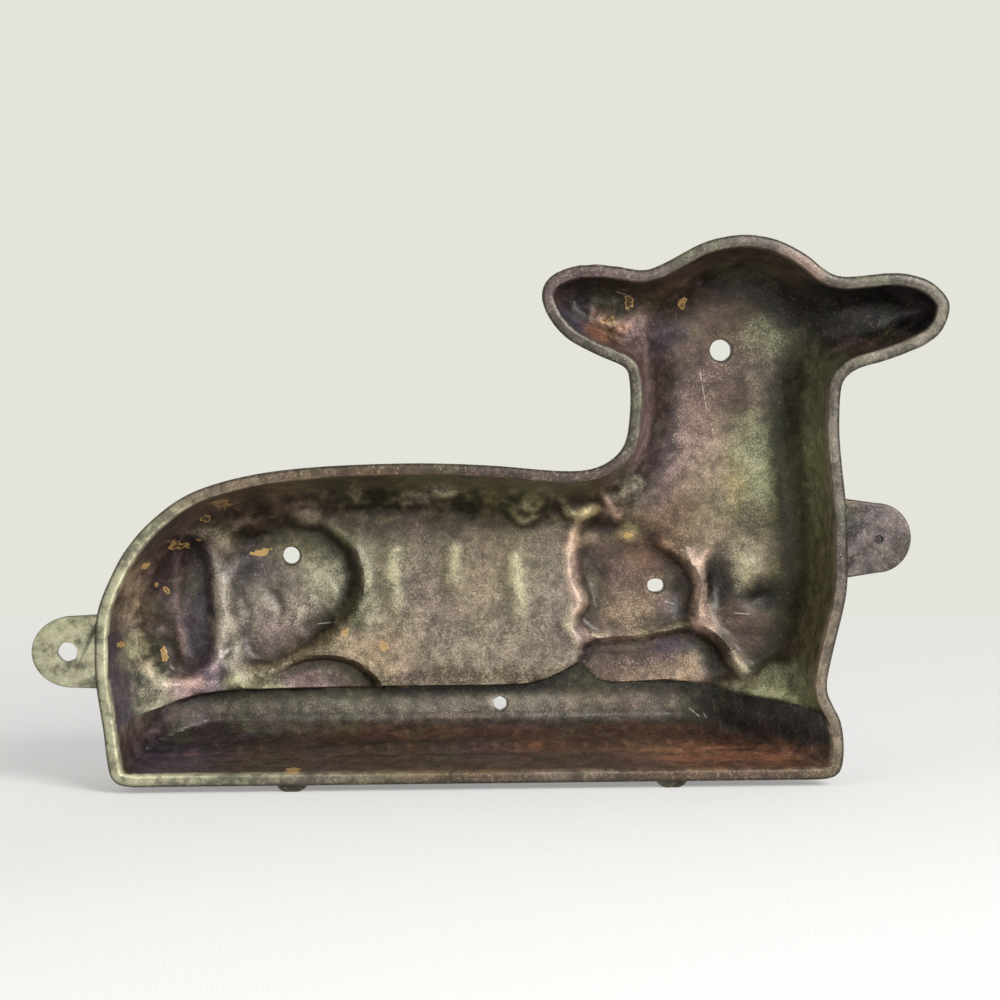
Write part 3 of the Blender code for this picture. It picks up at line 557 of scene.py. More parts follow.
def surfacePoints(edge, rings, spacing, rows, fineZone=None):
    normal = inwardNormals(edge.loop)
    chosen = []
    for ring in rings:
        candidates = edge.loop + normal * ring
        chosen.append(candidates[edge.inset(candidates) > meshing["ringKeep"] * ring])
    chosen = thinOut(np.vstack(chosen), meshing["ringGap"])
    extra = thinOut(np.vstack(rows), meshing["rowGap"])
    extra = extra[edge.inset(extra) > rings[-1] + meshing["ringGap"]]
    chosen = np.vstack([chosen, keepClear(extra, chosen, meshing["ringGap"])])
    low, high = edge.loop.min(axis=0), edge.loop.max(axis=0)
    if fineZone:
        fine = evenGrid(low, high, casting["fineGrid"])
        fine = fine[fineZone(fine)]
        fine = fine[edge.inset(fine) > rings[-1] + meshing["fineClear"]]
        gap = meshing["fineShare"] * casting["fineGrid"]
        chosen = np.vstack([chosen, keepClear(fine, chosen, gap)])
    grid = evenGrid(low, high, spacing)
    grid = grid[edge.inset(grid) > rings[-1] + 0.5 * spacing]
    return np.vstack([chosen, keepClear(grid, chosen, meshing["gridShare"] * spacing)])


def addSurface(bm, edge, edgeVerts, points, depthOf, facingOut, side):
    mark = bm.verts.layers.float["side"]
    flat = [Vector(p) for p in np.vstack([edge.loop, points])]
    count = len(edge.loop)
    boundary = [(i, (i + 1) % count) for i in range(count)]
    result = delaunay_2d_cdt(flat, boundary, [], 1, 1e-7, True)
    corners, faces, origins = result[0], result[2], result[3]
    places = np.array([(c.x, c.y) for c in corners])
    within = isInside(places[np.array(faces)].mean(axis=1), edge.loop)
    depths = depthOf(places)
    verts = []
    for corner, depth, origin in zip(corners, depths, origins):
        source = min(origin) if origin else count
        if source < count:
            verts.append(edgeVerts[source])
        else:
            vert = bm.verts.new((corner.x, depth, corner.y))
            vert[mark] = side
            verts.append(vert)
    for face, isWanted in zip(faces, within):
        if not isWanted:
            continue
        a, b, c = (corners[i] for i in face)
        forward = ((b - a).cross(c - a) > 0) != facingOut
        bm.faces.new([verts[i] for i in (face if forward else face[::-1])])


# what a vertex belongs to
insideMark, outsideMark, rimMark = 1.0, 2.0, 3.0


def shellMesh(form, spacing):
    bm = bmesh.new()
    mark = bm.verts.layers.float.new("side")
    width = casting["rimWidth"]
    loops = []
    for inset, depth in rimProfile:
        line = form.outerEdge.loop + (form.innerEdge.loop - form.outerEdge.loop) * inset / width
        loops.append([bm.verts.new((x, depth, z)) for x, z in line])
        for vert in loops[-1]:
            vert[mark] = rimMark
    for first, second in zip(loops, loops[1:]):
        for i in range(len(first)):
            j = (i + 1) % len(first)
            bm.faces.new((first[i], first[j], second[j], second[i]))
    line = smoothPath(crease, meshing["creaseStep"], False)
    rows = [line + (0.0, lift) for lift in meshing["creaseLifts"]]
    places = np.arange(*meshing["floorSpan"])
    floors = [np.column_stack([places, np.full(len(places), z)]) for z in base["floorLevels"]]
    rows += floors
    for recess in form.recesses:
        loop = smoothPath(recess["loop"], meshing["recessStep"], True)
        normal = inwardNormals(loop[:, :2])
        rows += [loop[:, :2] + normal * loop[:, 2:3] * share for share in meshing["recessShares"]]

    def nearFleece(points):
        below = np.interp(points[:, 0], *form.topLine.T) - points[:, 1]
        return (below < casting["fineBand"]) & (points[:, 0] < meshing["fleeceEnd"])

    inside = surfacePoints(form.innerEdge, meshing["insideRings"], spacing, rows, nearFleece)
    addSurface(bm, form.innerEdge, loops[-1], inside, form.roughInner, False, insideMark)
    rows = [line[::2] + (0.0, casting["wall"] + lift) for lift in meshing["outsideLifts"]]
    rows += [floor - (0.0, width) for floor in floors]
    outside = surfacePoints(form.outerEdge, meshing["outsideRings"], casting["outsideGrid"], rows)
    addSurface(bm, form.outerEdge, loops[0], outside, form.roughOuter, True, outsideMark)
    bmesh.ops.recalc_face_normals(bm, faces=bm.faces)
    return bm


tabs = {
    "thickness": 4.0, "setback": 1.0, "bevel": 0.9, "bevelSteps": 4, "endSteps": 28,
    "left": {"root": -138.0, "centre": -150.5, "level": 49.5, "rootHalf": 13.6,
             "half": 13.0, "reach": 15.0},
    "right": {"root": 127.0, "centre": 141.5, "level": 87.5, "rootHalf": 14.8,
              "half": 12.6, "reach": 12.2},
    "hole": {"x": -152.5, "z": 49.5, "width": 7.4, "height": 7.0, "corners": 5, "square": 0.03},
    "dimple": {"x": 142.0, "z": 87.0, "width": 3.4, "height": 3.2, "depth": 0.8},
}
feet = {
    "sole": 5.5, "flare": 14.0, "start": 2.6, "end": 43.0, "tipLength": 3.0, "tipSize": 0.8,
    "shoulderSize": 0.94, "shoulderAt": 0.4, "places": (-72.0, 66.5),
    # width as a share of the sole, and height above it
    "profile": ((1.0, 0.0), (1.35, 0.25), (1.75, 0.9), (2.05, 2.0)),
    "waistWidth": 2.15, "waistLevel": 0.45,
}
# corners and square say how far a hole strays from an oval
vents = (
    {"x": -75.0, "z": 81.0, "width": 6.5, "height": 6.5, "corners": 7, "square": 0.008},
    {"x": 88.5, "z": 157.0, "width": 8.0, "height": 8.0, "corners": 7, "square": 0.008},
    {"x": 64.0, "z": 68.0, "width": 6.4, "height": 5.3, "corners": 4, "square": 0.03},
    {"x": 4.1, "z": 23.2, "width": 5.1, "height": 5.3, "corners": 6, "square": 0.035},
)


def vertexPlaces(mesh):
    places = np.empty(len(mesh.vertices) * 3)
    mesh.vertices.foreach_get("co", places)
    return places.reshape(-1, 3)


def toObject(bm, name):
    mesh = bpy.data.meshes.new(name)
    bm.to_mesh(mesh)
    bm.free()
    piece = bpy.data.objects.new(name, mesh)
    bpy.context.scene.collection.objects.link(piece)
    return piece


def tabPiece(tab):
    side = 1.0 if tab["centre"] > tab["root"] else -1.0
    points = [(tab["root"], tab["level"] - tab["rootHalf"])]
    for step in range(tabs["endSteps"] + 1):
        angle = math.radians(-90.0 + 180.0 * step / tabs["endSteps"])
        points.append((tab["centre"] + side * tab["reach"] * math.cos(angle),
                       tab["level"] + tab["half"] * math.sin(angle)))
    points.append((tab["root"], tab["level"] + tab["rootHalf"]))
    bm = bmesh.new()
    face = bm.faces.new([bm.verts.new((x, tabs["setback"], z)) for x, z in points])
    made = bmesh.ops.extrude_face_region(bm, geom=[face])
    moved = [v for v in made["geom"] if isinstance(v, bmesh.types.BMVert)]
    bmesh.ops.translate(bm, vec=(0.0, tabs["thickness"], 0.0), verts=moved)
    bmesh.ops.recalc_face_normals(bm, faces=bm.faces)
    rims = [e for e in bm.edges if abs(e.verts[0].co.y - e.verts[1].co.y) < 1e-6]
    bmesh.ops.bevel(bm, geom=rims, offset=tabs["bevel"], profile=0.5,
                    segments=tabs["bevelSteps"], affect="EDGES")
    return toObject(bm, "tab")


def joinRings(bm, rings):
    # walls between rings of vertices, with the first and the last closed
    for a, b in zip(rings, rings[1:]):
        for i in range(len(a)):
            j = (i + 1) % len(a)
            bm.faces.new((a[i], a[j], b[j], b[i]))
    bm.faces.new(rings[0])
    bm.faces.new(rings[-1])
    bmesh.ops.recalc_face_normals(bm, faces=bm.faces)


def footPiece(form, place):
    bm = bmesh.new()
    sections = []
    start, end, tip, sole = feet["start"], feet["end"], feet["tipLength"], feet["sole"]
    for depth, size in ((start, feet["tipSize"]),
                        (start + feet["shoulderAt"] * tip, feet["shoulderSize"]),
                        (start + tip, 1.0), (end - tip, 1.0), (end, feet["tipSize"])):
        top = depth / form.floorSlope + 0.5 * casting["rimWidth"]
        low = -casting["rimLift"]
        waist = feet["waistLevel"] * (top - low) + low
        levels = [(share * sole, low + rise) for share, rise in feet["profile"]]
        levels += [(feet["waistWidth"] * sole, waist), (feet["flare"], top)]
        right = [(0.5 * width * size, z) for width, z in levels]
        ring = [(-half, z) for half, z in reversed(right)] + right
        sections.append([bm.verts.new((place + half, depth, z)) for half, z in ring])
    joinRings(bm, sections)
    return toObject(bm, "foot")


def cutterPiece(hole, start, end, sides=48, turn=3.0):
    bm = bmesh.new()
    rings = [[], []]
    for i in range(sides):
        angle = 2.0 * math.pi * i / sides
        stray = 1.0 + hole.get("square", 0.0) * math.cos(hole.get("corners", 4) * angle + turn)
        x = hole["x"] + 0.5 * hole["width"] * stray * math.cos(angle)
        z = hole["z"] + 0.5 * hole["height"] * stray * math.sin(angle)
        for ring, depth in zip(rings, (start, end)):
            ring.append(bm.verts.new((x, depth, z)))
    joinRings(bm, rings)
    return toObject(bm, "cutter")


def applyBooleans(piece, tools, operation):
    for tool in tools:
        modifier = piece.modifiers.new(operation, "BOOLEAN")
        modifier.operation = operation
        modifier.solver = "EXACT"
        modifier.object = tool
    view = bpy.context.evaluated_depsgraph_get()
    mesh = bpy.data.meshes.new_from_object(piece.evaluated_get(view))
    piece.modifiers.clear()
    piece.data = mesh
    for tool in tools:
        bpy.data.objects.remove(tool)


def paint(red, green, blue):
    # a colour as it looks on a screen, from 0 to 255, as linear values
    values = np.array((red, green, blue)) / 255.0
    return np.where(values <= 0.04045, values / 12.92, ((values + 0.055) / 1.055) ** 2.4)


# tones of old seasoned iron
palette = {
    "bare": (144, 129, 108), "tan": (166, 142, 114), "grey": (122, 114, 102),
    "olive": (92, 88, 56), "paintedShadeOlive": (48, 46, 28), "mossAndPaintedShade": (62, 68, 42),
    "mist": (164, 162, 134), "sage": (140, 142, 106), "plum": (92, 72, 74),
    "violet": (66, 58, 76), "mauve": (128, 104, 106), "pinkAndPaintedHighlight": (176, 146, 134),
    "brown": (100, 78, 58), "nearBlackAndPaintedShade": (27, 23, 20), "paintedShadeTeal": (11, 16, 18),
    "copper": (146, 96, 70), "steel": (146, 137, 122), "umberAndPaintedShade": (74, 58, 48),
    "straw": (172, 158, 104), "slate": (80, 70, 70), "oliveBrown": (78, 66, 42),
}
# stains by tone, each at x, z with half width, half height and strength; first the body
insideStains = {
    "bare": (
        (-10, 62, 60, 40, 0.8), (-100, 87, 8, 5, 2), (100, 80, 9, 9, 1.2), (94, 36, 5, 4, 2),
        (86, 92, 8, 14, 1.2), (86, 112, 10, 16, 1.2),
    ),
    "grey": (
        (-30, 74, 12, 16, 0.6), (2, 48, 30, 12, 0.8), (-27, 102.5, 6, 3, 1.6), (-67, 95, 6, 5, 2),
        (54.5, 106, 6, 4.5, 3), (-101.5, 62, 4, 18, 2.2), (-84, 62, 18, 20, 1.6),
        (26, 62, 9, 28, 1.6), (103, 150, 10, 7, 1.8),
    ),
    "tan": (
        (-42, 44, 10, 8, 0.8), (36, 87, 7, 4, 1.6), (-130.5, 66, 4.5, 14, 3), (54, 58, 9, 4.5, 2.6),
        (60, 35, 12, 3, 2.2), (77, 37, 5, 4, 2.8),
    ),
    "brown": (
        (-74, 106, 26, 8, 2.4), (58, 72, 16, 14, 1.8), (72, 96, 14, 12, 1.6), (82, 172, 16, 8, 2.4),
        (62, 174, 7, 4, 2.2),
    ),
    # olive here is painted shade: on the fleece under the rim, along the recess edges and down the
    # right-hand walls
    "olive": (
        (-25, 107, 38, 8, 2.8), (10, 103, 30, 8, 2.8), (-72, 84, 12, 5, 1.8), (-80, 40, 7, 3, 2.6),
        (114, 52, 6, 14, 1.8), (125, 84, 5, 52, 2.6), (116, 96, 7, 34, 1.6),
    ),
    # moss is mostly painted shade on recess walls, under the rim and down the neck
    "mossAndPaintedShade": (
        (-52, 103, 12, 7, 2), (-55, 85, 5.5, 4.5, 5), (-53.5, 60.5, 4.5, 5, 6),
        (-126.5, 44, 3, 5, 3.4), (71.5, 67, 4.5, 8, 3.6), (110, 128, 5, 8, 1.6),
    ),
    # near black, as painted shade in the ears, under the rim over the head and in the fleece
    # hollows
    "nearBlackAndPaintedShade": (
        (-41.6, 106, 5, 6, 5), (-85, 101.6, 3.5, 5, 5), (-92, 88.5, 4.5, 4, 3.5),
        (35, 101, 3, 3, 4), (50.5, 108.5, 2, 3, 3), (100, 190, 22, 5, 2.4), (118, 172, 9, 8, 3.6),
        (47, 178, 14, 4.6, 9), (130, 166, 8, 8, 5),
    ),
    # dark olive is painted shade: under the rim over the fleece, on the haunch wall, along the
    # crease, over the foreleg and knee and down the neck
    "paintedShadeOlive": (
        (-57, 107, 4.5, 5, 4), (-6.6, 100.5, 5, 4, 3.5), (44, 91, 8, 2.6, 2.6),
        (-51, 77.5, 4, 6, 7), (-50.5, 68.5, 4, 6, 7), (-60, 53.3, 5.5, 4, 5), (-10, 33, 40, 2.6, 3),
        (63, 53, 10, 2, 2.6), (86.5, 41, 3.6, 8, 5), (116, 137, 8, 17, 1.8),
    ),
    # umber is partly the iron's own tone and partly painted shade, along the crease and under the
    # rim over the head
    "umberAndPaintedShade": (
        (27.5, 101.5, 3, 5, 4), (-28, 94, 40, 3.5, 1.4), (-96, 95, 10, 3.5, 2),
        (41.5, 104, 2.2, 5, 3.5), (-118, 92, 12, 12, 2.6), (-120, 46, 6, 7, 2.4),
        (-137, 66, 3.5, 16, 2.4), (-8, 33, 46, 2.6, 5), (-47, 35, 5, 4.5, 4), (-70, 39.5, 16, 2, 2),
        (52, 60, 14, 7, 1), (62, 66, 20, 20, 1.4), (50, 43, 14, 4, 2.8), (97, 52, 10, 9, 2.2),
        (100, 94, 8, 6, 2.2), (93, 186, 28, 8, 5), (86, 152, 24, 20, 3.8), (28, 177, 6, 5, 3),
        (138, 158.5, 10, 3, 4), (152, 161.5, 7, 2.4, 3),
    ),
    # sage along the three belly streaks is partly painted highlight on their ridges, and the broad
    # sage down the right-hand neck wall is painted light
    "sage": (
        (17, 102, 4.5, 4.5, 2.6), (-36.5, 73, 4.4, 13, 0.9), (-13.4, 76, 3.4, 8, 0.7),
        (10.5, 68, 3.6, 13, 0.6), (-131, 46, 4, 6, 2.4), (-97.5, 33, 3.4, 4, 2.2),
        (-86, 32, 9, 3, 2.4), (97, 75, 5, 7, 0.8), (107, 33, 11, 5, 1.8), (101, 112, 7, 17, 2),
        (120, 118, 9, 26, 2.6), (108, 163, 9, 6, 3),
    ),
    "straw": ((36, 96, 5, 2, 3.6), (53, 87.5, 4, 3, 1.2), (94, 104, 4, 10, 1.4)),
    # the narrow mist stain beside the haunch is a painted highlight on its ridge
    "mist": (
        (-15, 104.5, 6, 2, 3), (-61.5, 73, 5.5, 8, 3), (-46.5, 70, 2, 14, 3),
        (-127, 36, 6.5, 10, 3), (31.5, 55, 2, 2.4, 3),
    ),
    # pink is partly the iron's own tone and partly painted highlight on ridges: round the tail's
    # lower edge and beside the shoulder and foreleg
    "pinkAndPaintedHighlight": (
        (46, 99, 2.6, 6, 4), (-129.5, 40.5, 1.8, 3, 4), (-123, 34.5, 3.6, 1.6, 4),
        (-113, 33.5, 5, 1.4, 3.4), (33, 74, 2.4, 12, 2.2), (35, 57, 3.6, 5, 2),
        (81, 66, 2.2, 14, 2.6), (83, 52, 3, 5, 2.2), (78, 132, 8, 14, 1.4),
    ),
    "plum": (
        (-119, 64, 8.5, 24, 2.8), (-22, 66, 8, 8, 1), (48, 70, 7, 11, 2), (56, 38, 24, 6, 2.2),
    ),
    "violet": (
        (-109.5, 62, 4, 19, 4.5), (-90, 76, 8, 5, 1.8), (-138, 38, 4, 18, 3.6),
        (-102.5, 36, 4, 6, 2.8), (70, 59, 5, 4, 2.6), (70, 45, 10, 3, 2.6), (68, 162, 6, 6, 3.2),
        (33, 171, 7, 6, 2.6),
    ),
    "mauve": (
        (-104, 39, 2, 3, 3.4), (-78, 52, 10, 8, 1.6), (-114, 31, 8, 4, 2.6), (-66, 34, 12, 5, 2.4),
        (37.5, 48, 2.4, 8, 2.2), (64, 128, 9, 22, 2), (78, 148, 9, 8, 1.2), (57, 163, 5, 5, 2.4),
    ),
    "oliveBrown": ((-71, 45, 9, 4.6, 5), (-64, 50.5, 6, 4.6, 6)),
    "copper": ((62, 80, 6, 4, 1), (47, 167, 6, 4, 1.9)),
    # near-black teal in the chest hollows and the right ear is painted shade
    "paintedShadeTeal": ((88, 69.5, 4.6, 9, 4), (105, 64, 8, 3.4, 3.4), (147, 172, 22, 9, 22)),
}
baseStains = {
    # along the crease, the dark olive, near-black and moss stains are painted shadow under the
    # body's lip, and the teal at the chest end is painted shade
    "paintedShadeOlive": ((-30, 29.5, 85, 2.6, 5),),
    "nearBlackAndPaintedShade": ((60, 29.5, 30, 2.4, 5), (15, 8.6, 30, 1.8, 2.6)),
    "mossAndPaintedShade": ((-60, 26, 30, 3, 2.2),),
    "steel": ((-10, 21, 100, 4.6, 4.4), (-96, 22, 10, 3, 2.4)),
    "umberAndPaintedShade": (
        (50, 24, 26, 4, 1.4), (38, 10.4, 12, 2, 2.6), (-50, 9, 40, 2.6, 3.6),
        (0, 5.6, 120, 1.7, 3.6), (-134, 14, 4, 10, 3),
    ),
    "plum": ((10, 16.2, 90, 1.6, 1.4), (-6, 9.6, 16, 2.4, 3.6), (-112, 18, 22, 7, 3)),
    "copper": (
        (-30, 13, 22, 2.4, 4.4), (18, 11, 20, 2.6, 3.6), (56, 12.6, 18, 2, 4.4),
        (88, 8.6, 26, 3.2, 5),
    ),
    "tan": ((-40, 14.2, 20, 1, 3),),
    "mist": ((-84, 15, 16, 0.7, 4),),
    "mauve": ((-104, 12.4, 10, 1, 3.4),),
    "brown": ((75, 11.5, 30, 3.6, 3), (121, 8, 4, 4, 4)),
    "violet": ((-120, 9, 16, 6, 3),),
    "paintedShadeTeal": ((102, 22, 18, 8, 14), (118, 16, 8, 6, 10)),
}
rimStains = {
    "mist": (
        (-142, 46, 12, 40, 2.4), (-128, 92, 16, 14, 1.8), (-90, 0, 50, 8, 2.2),
        (-152, 49.5, 14, 16, 3.4),
    ),
    "brown": ((-60, 115, 40, 10, 2), (70, 0, 60, 8, 3), (-20, 0, 40, 8, 2.6)),
    "bare": ((-90, 110, 22, 8, 1.4), (124, 40, 10, 30, 1.8)),
    "umberAndPaintedShade": ((20, 114, 30, 8, 2),),
    "grey": (
        (50, 140, 12, 18, 1.6), (30, 160, 14, 8, 1.8), (90, 195, 26, 10, 1.6),
        (150, 182, 16, 6, 1.8), (128, 110, 8, 40, 1.8), (30, 2, 18, 6, 2), (-55, 1, 16, 6, 2.2),
    ),
    "mauve": ((30, 184, 18, 8, 1.6), (146, 92, 6, 5, 3)),
    "pinkAndPaintedHighlight": ((116, 189, 8, 8, 1.4),),
    "steel": ((156, 156, 16, 8, 1.8),),
    "sage": ((-150, 60, 10, 4, 2.4),),
    "slate": ((144, 87.5, 14, 16, 12),),
    "violet": ((134, 87, 4, 12, 3),),
}
outsideStains = {
    "umberAndPaintedShade": ((0, 60, 90, 50, 1), (110, 110, 20, 20, 1)),
    "brown": ((90, 150, 50, 40, 1), (-40, 20, 50, 14, 1)),
    "olive": ((-90, 60, 30, 30, 0.9),),
    "plum": ((60, 40, 40, 24, 0.9),),
    "grey": ((20, 90, 30, 20, 0.8), (-130, 60, 12, 30, 1)),
}
# pale grains lie thickest here: x, z, half width, half height, amount
mistPlaces = (
    (-61, 72, 7, 9, 0.8), (-72, 58, 12, 7, 0.5), (-90, 56, 9, 14, 0.45), (-102, 70, 5, 12, 0.5),
    (-133, 60, 3.5, 18, 0.5), (-127, 35, 6, 9, 0.7), (-36, 72, 6, 13, 0.4), (-13, 76, 4.6, 9, 0.28),
    (10.5, 68, 5, 14, 0.24), (-28, 64, 26, 20, 0.30), (0, 48, 34, 12, 0.32), (-52, 103, 8, 5, 0.4),
    (-28, 101, 10, 6, 0.4), (36, 96, 6, 2.6, 0.8), (-15, 104.5, 7, 2.6, 0.8),
    (54.5, 106, 7, 5, 0.5), (62, 38, 16, 5, 0.5), (54, 58, 10, 6, 0.45), (81, 66, 3, 14, 0.5),
    (97, 78, 8, 10, 0.5), (107, 35, 12, 8, 0.6), (98, 50, 12, 10, 0.35), (102, 112, 9, 20, 0.6),
    (70, 130, 12, 22, 0.35), (107, 162, 12, 9, 0.5), (80, 150, 12, 10, 0.3), (34, 170, 9, 7, 0.4),
    (50, 166, 8, 6, 0.4), (0, 20, 110, 4.5, 0.30), (-112, 16, 18, 9, 0.25), (60, 12, 60, 4, 0.20),
    (-100, 88, 8, 5, 0.5), (-86, 33, 12, 4, 0.5),
)


def blendStains(points, stains, warp):
    spots = points + warp
    total = np.zeros((len(points), 3))
    weights = np.full(len(points), 1e-6)
    for name, places in stains.items():
        for x, z, halfWidth, halfHeight, strength in places:
            offset = (spots - (x, z)) / (halfWidth, halfHeight)
            weight = strength * np.exp(-(offset ** 2).sum(axis=1))
            total += weight[:, None] * paint(*palette[name])
            weights += weight
    return total / weights[:, None] + 1e-6


def smoothed(values, edges, rounds):
    count = len(values)
    degree = np.bincount(edges.ravel(), minlength=count) + 1e-9
    for _ in range(rounds):
        total = (np.bincount(edges[:, 0], values[edges[:, 1]], count)
                 + np.bincount(edges[:, 1], values[edges[:, 0]], count))
        values = 0.5 * values + 0.5 * total / degree
    return values


skin = {
    "tabReach": 0.4,
    "warpSize": 12.0,
    "warpReach": 3.4,
    "baseWarp": (0.8, 0.25),
    "creaseBlend": (-0.4, 0.8),
    "rimOverlap": (1.1, 1.2),
    "rimOverlapDepth": 2.5,
    # the rim's outer edge gets painted shade, partly dirt, and its inner edge a painted highlight,
    # partly wear
    "outerEdge": (0.35, 1.0),
    "outerEdgeShade": 0.16,
    "innerEdge": (3.3, 0.5),
    "innerHighlightGain": 0.75,
    "browner": (-122.0, 26.0, 0.36),  # from x, over a length, by a share
    "headDarker": (118.0, 30.0, 0.30),  # from z, over a height, by a share
    "smallRounds": 10,
    "wideRounds": 70,
    "smallRise": 0.35,
    "wideRise": 1.6,
    # tint follows the relief: partly wear and patina, partly painted light and painted shade
    "raisedWearAndShadingGain": 0.75,
    "raisedWearAndShadingLimits": (0.3, 1.7),
    "raisedFade": (3.0, 4.0),
    "raisedMist": 0.35,
    "darkTone": (0.085, 0.07),
    "darkCut": 1.1,
    "outsideMist": -0.3,
    "rimMist": 0.10,
    "brushLevel": (17.0, 5.0),
    "brushLeast": 0.25,
}


def rampUp(values, start, length):
    return smoothStep((values - start) / length)


def rampDown(values, start, length):
    return smoothStep((start - values) / length)


def paintPiece(piece, form):
    mesh = piece.data
    places = vertexPlaces(mesh)
    count = len(places)
    flat, depth = places[:, [0, 2]], places[:, 1]
    side = np.empty(count)
    mesh.attributes["side"].data.foreach_get("value", side)
    # holes, tabs and feet made new vertices, which are placed by their depth
    unknown = (np.abs(side - np.round(side)) > 1e-3) | (side < 0.5)
    if unknown.any():
        spots = flat[unknown]
        nearer = (np.abs(depth[unknown] - form.inner(spots))
                  < np.abs(depth[unknown] - form.outer(spots)))
        nearer &= form.innerEdge.inset(spots) > 0.0
        side[unknown] = np.where(nearer, insideMark, outsideMark)
    withinRim = form.innerEdge.inset(flat)
    onTab = np.abs(depth - tabs["setback"]) < skin["tabReach"]
    onTab &= withinRim < -casting["rimWidth"]
    onRim = (np.round(side) == rimMark) | onTab
    onInside = (np.round(side) == insideMark) & ~onRim

    warp = np.column_stack([fractal(flat, skin["warpSize"], 5, seed) for seed in (3, 9)])
    warp *= skin["warpReach"]
    inBase = rampUp(creaseHeight(flat[:, 0]) - flat[:, 1], *skin["creaseBlend"])[:, None]
    within = blendStains(flat, insideStains, warp)
    low = blendStains(flat, baseStains, warp * skin["baseWarp"])
    within = within * (1.0 - inBase) + low * inBase
    tint = np.where(onInside[:, None], within, blendStains(flat, outsideStains, warp))
    # a little of the rim's paler skin runs over its inner edge
    overlap = rampDown(withinRim, *skin["rimOverlap"]) * (depth < skin["rimOverlapDepth"])
    rimShare = np.where(onRim, 1.0, np.where(onInside, overlap, 0.0))
    # painted shade on the rounded outer edge, partly dirt, a painted highlight along the inner
    # edge, partly wear, and the rim darker away from the rump and towards the head
    across = form.outerEdge.inset(flat)
    least = skin["outerEdgeShade"]
    shade = least + (1.0 - least) * rampUp(across, *skin["outerEdge"])
    shade *= 1.0 + skin["innerHighlightGain"] * rampUp(across, *skin["innerEdge"])
    for values, (start, length, share) in ((flat[:, 0], skin["browner"]),
                                           (flat[:, 1], skin["headDarker"])):
        shade *= 1.0 - share * rampUp(values, start, length)
    rim = blendStains(flat, rimStains, warp) * np.where(onTab, 1.0, shade)[:, None]
    tint = tint * (1.0 - rimShare[:, None]) + rim * rimShare[:, None]

    # raised places are painted paler and hollows darker: partly rubbed wear and dark patina, partly
    # painted light on the lumps and painted shade in the hollows
    edges = np.empty(len(mesh.edges) * 2, dtype=int)
    mesh.edges.foreach_get("vertices", edges)
    edges = edges.reshape(-1, 2)
    small = smoothed(depth.copy(), edges, skin["smallRounds"])
    wide = smoothed(small, edges, skin["wideRounds"])
    raised = (np.clip((small - depth) / skin["smallRise"], -1.0, 1.0)
              + np.clip((wide - depth) / skin["wideRise"], -1.0, 1.0))
    raised = np.where(onInside, 0.5 * raised * rampUp(withinRim, *skin["raisedFade"]), 0.0)
    tint = tint * np.clip(1.0 + skin["raisedWearAndShadingGain"] * raised, *skin["raisedWearAndShadingLimits"])[:, None]

    mist = np.zeros(count)
    for x, z, halfWidth, halfHeight, amount in mistPlaces:
        offset = (flat + warp - (x, z)) / (halfWidth, halfHeight)
        mist = np.maximum(mist, amount * np.exp(-(offset ** 2).sum(axis=1)))
    mist += skin["raisedMist"] * np.clip(raised, 0.0, 1.0)
    dark = rampDown(tint.mean(axis=1), *skin["darkTone"])
    mist = mist * (1.0 - dark) - skin["darkCut"] * dark
    mist = np.where(onRim, skin["rimMist"], np.where(onInside, mist, skin["outsideMist"]))
    least = skin["brushLeast"]
    streak = inBase[:, 0] * onInside
    streak *= least + (1.0 - least) * rampDown(flat[:, 1], *skin["brushLevel"])
    masks = np.column_stack([mist, rimShare, streak, onInside | onRim])
    for name, values in (("tint", np.column_stack([tint, np.ones(count)])), ("masks", masks)):
        layer = mesh.attributes.new(name, "FLOAT_COLOR", "POINT")
        layer.data.foreach_set("color", values.astype(np.float32).ravel())


def placePiece(piece, node, side):
    # the drawing goes to its place in the frame, and never stands out of the CAD's box
    low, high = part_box(node)
    origin = (low.x + casting["leftReach"] * mm, low.y if side > 0 else high.y,
              low.z + casting["rimLift"] * mm)
    mesh = piece.data
    places = vertexPlaces(mesh) * (mm, mm * side, mm) + origin
    anchor = np.array((low.x, origin[1], low.z))
    extent = places.max(axis=0) - places.min(axis=0)
    share = np.minimum(1.0, (np.array(high) - np.array(low)) / extent)
    places = anchor + (places - anchor) * share
    places = np.clip(places, np.array(low), np.array(high))
    mesh.vertices.foreach_set("co", places.ravel())
    if side < 0:
        mesh.flip_normals()
    mesh.polygons.foreach_set("use_smooth", [True] * len(mesh.polygons))
    mesh.set_sharp_from_angle(angle=math.radians(casting["sharpAngle"]))
    mesh.update()
    return Vector(origin)


iron = {
    "metallic": 0.30,
    "roughness": (0.33, 0.54),  # where dark and where pale
    "roughSpan": (0.35, 0.65),
    # clouds, each with size in metres, detail and roughness
    "grain": (0.00065, 2.0, 0.6),
    "dust": (0.00036, 2.0, 0.6),
    "fleck": (0.0016, 3.0, 0.6),
    "mottle": (0.0050, 6.0, 0.62),
    "drift": (0.018, 5.0, 0.6),
    "wobble": (0.0022, 2.0, 0.55),
    "brushed": (0.0012, 5.0, 0.65),
    "wide": (0.0075, 5.0, 0.62),
    "mottleSpan": (0.32, 0.68),
    "mottleShade": (0.66, 1.34),
    "salt": (0.55, 0.45),  # shares of grain and dust
    "saltSpan": (0.40, 0.60),
    "saltShade": (0.68, 1.28),
    "rimSmooth": 0.65,
    "rubbedTone": (206, 200, 172),
    "rubbedMix": 0.55,
    "rubbedShare": 0.52,
    "rubbedMist": 0.30,
    "rubbedMottle": 0.25,
    "rubbedSpan": (0.74, 0.88),
    "rubbedRoughness": 0.14,
    "brushStretch": 0.22,
    "brushWave": 0.010,
    "cleanSpan": (-0.3, 0.0),
    "grainBump": 0.00006,
    "mottleBump": 0.00030,
    "grooveBump": 0.00005,
}
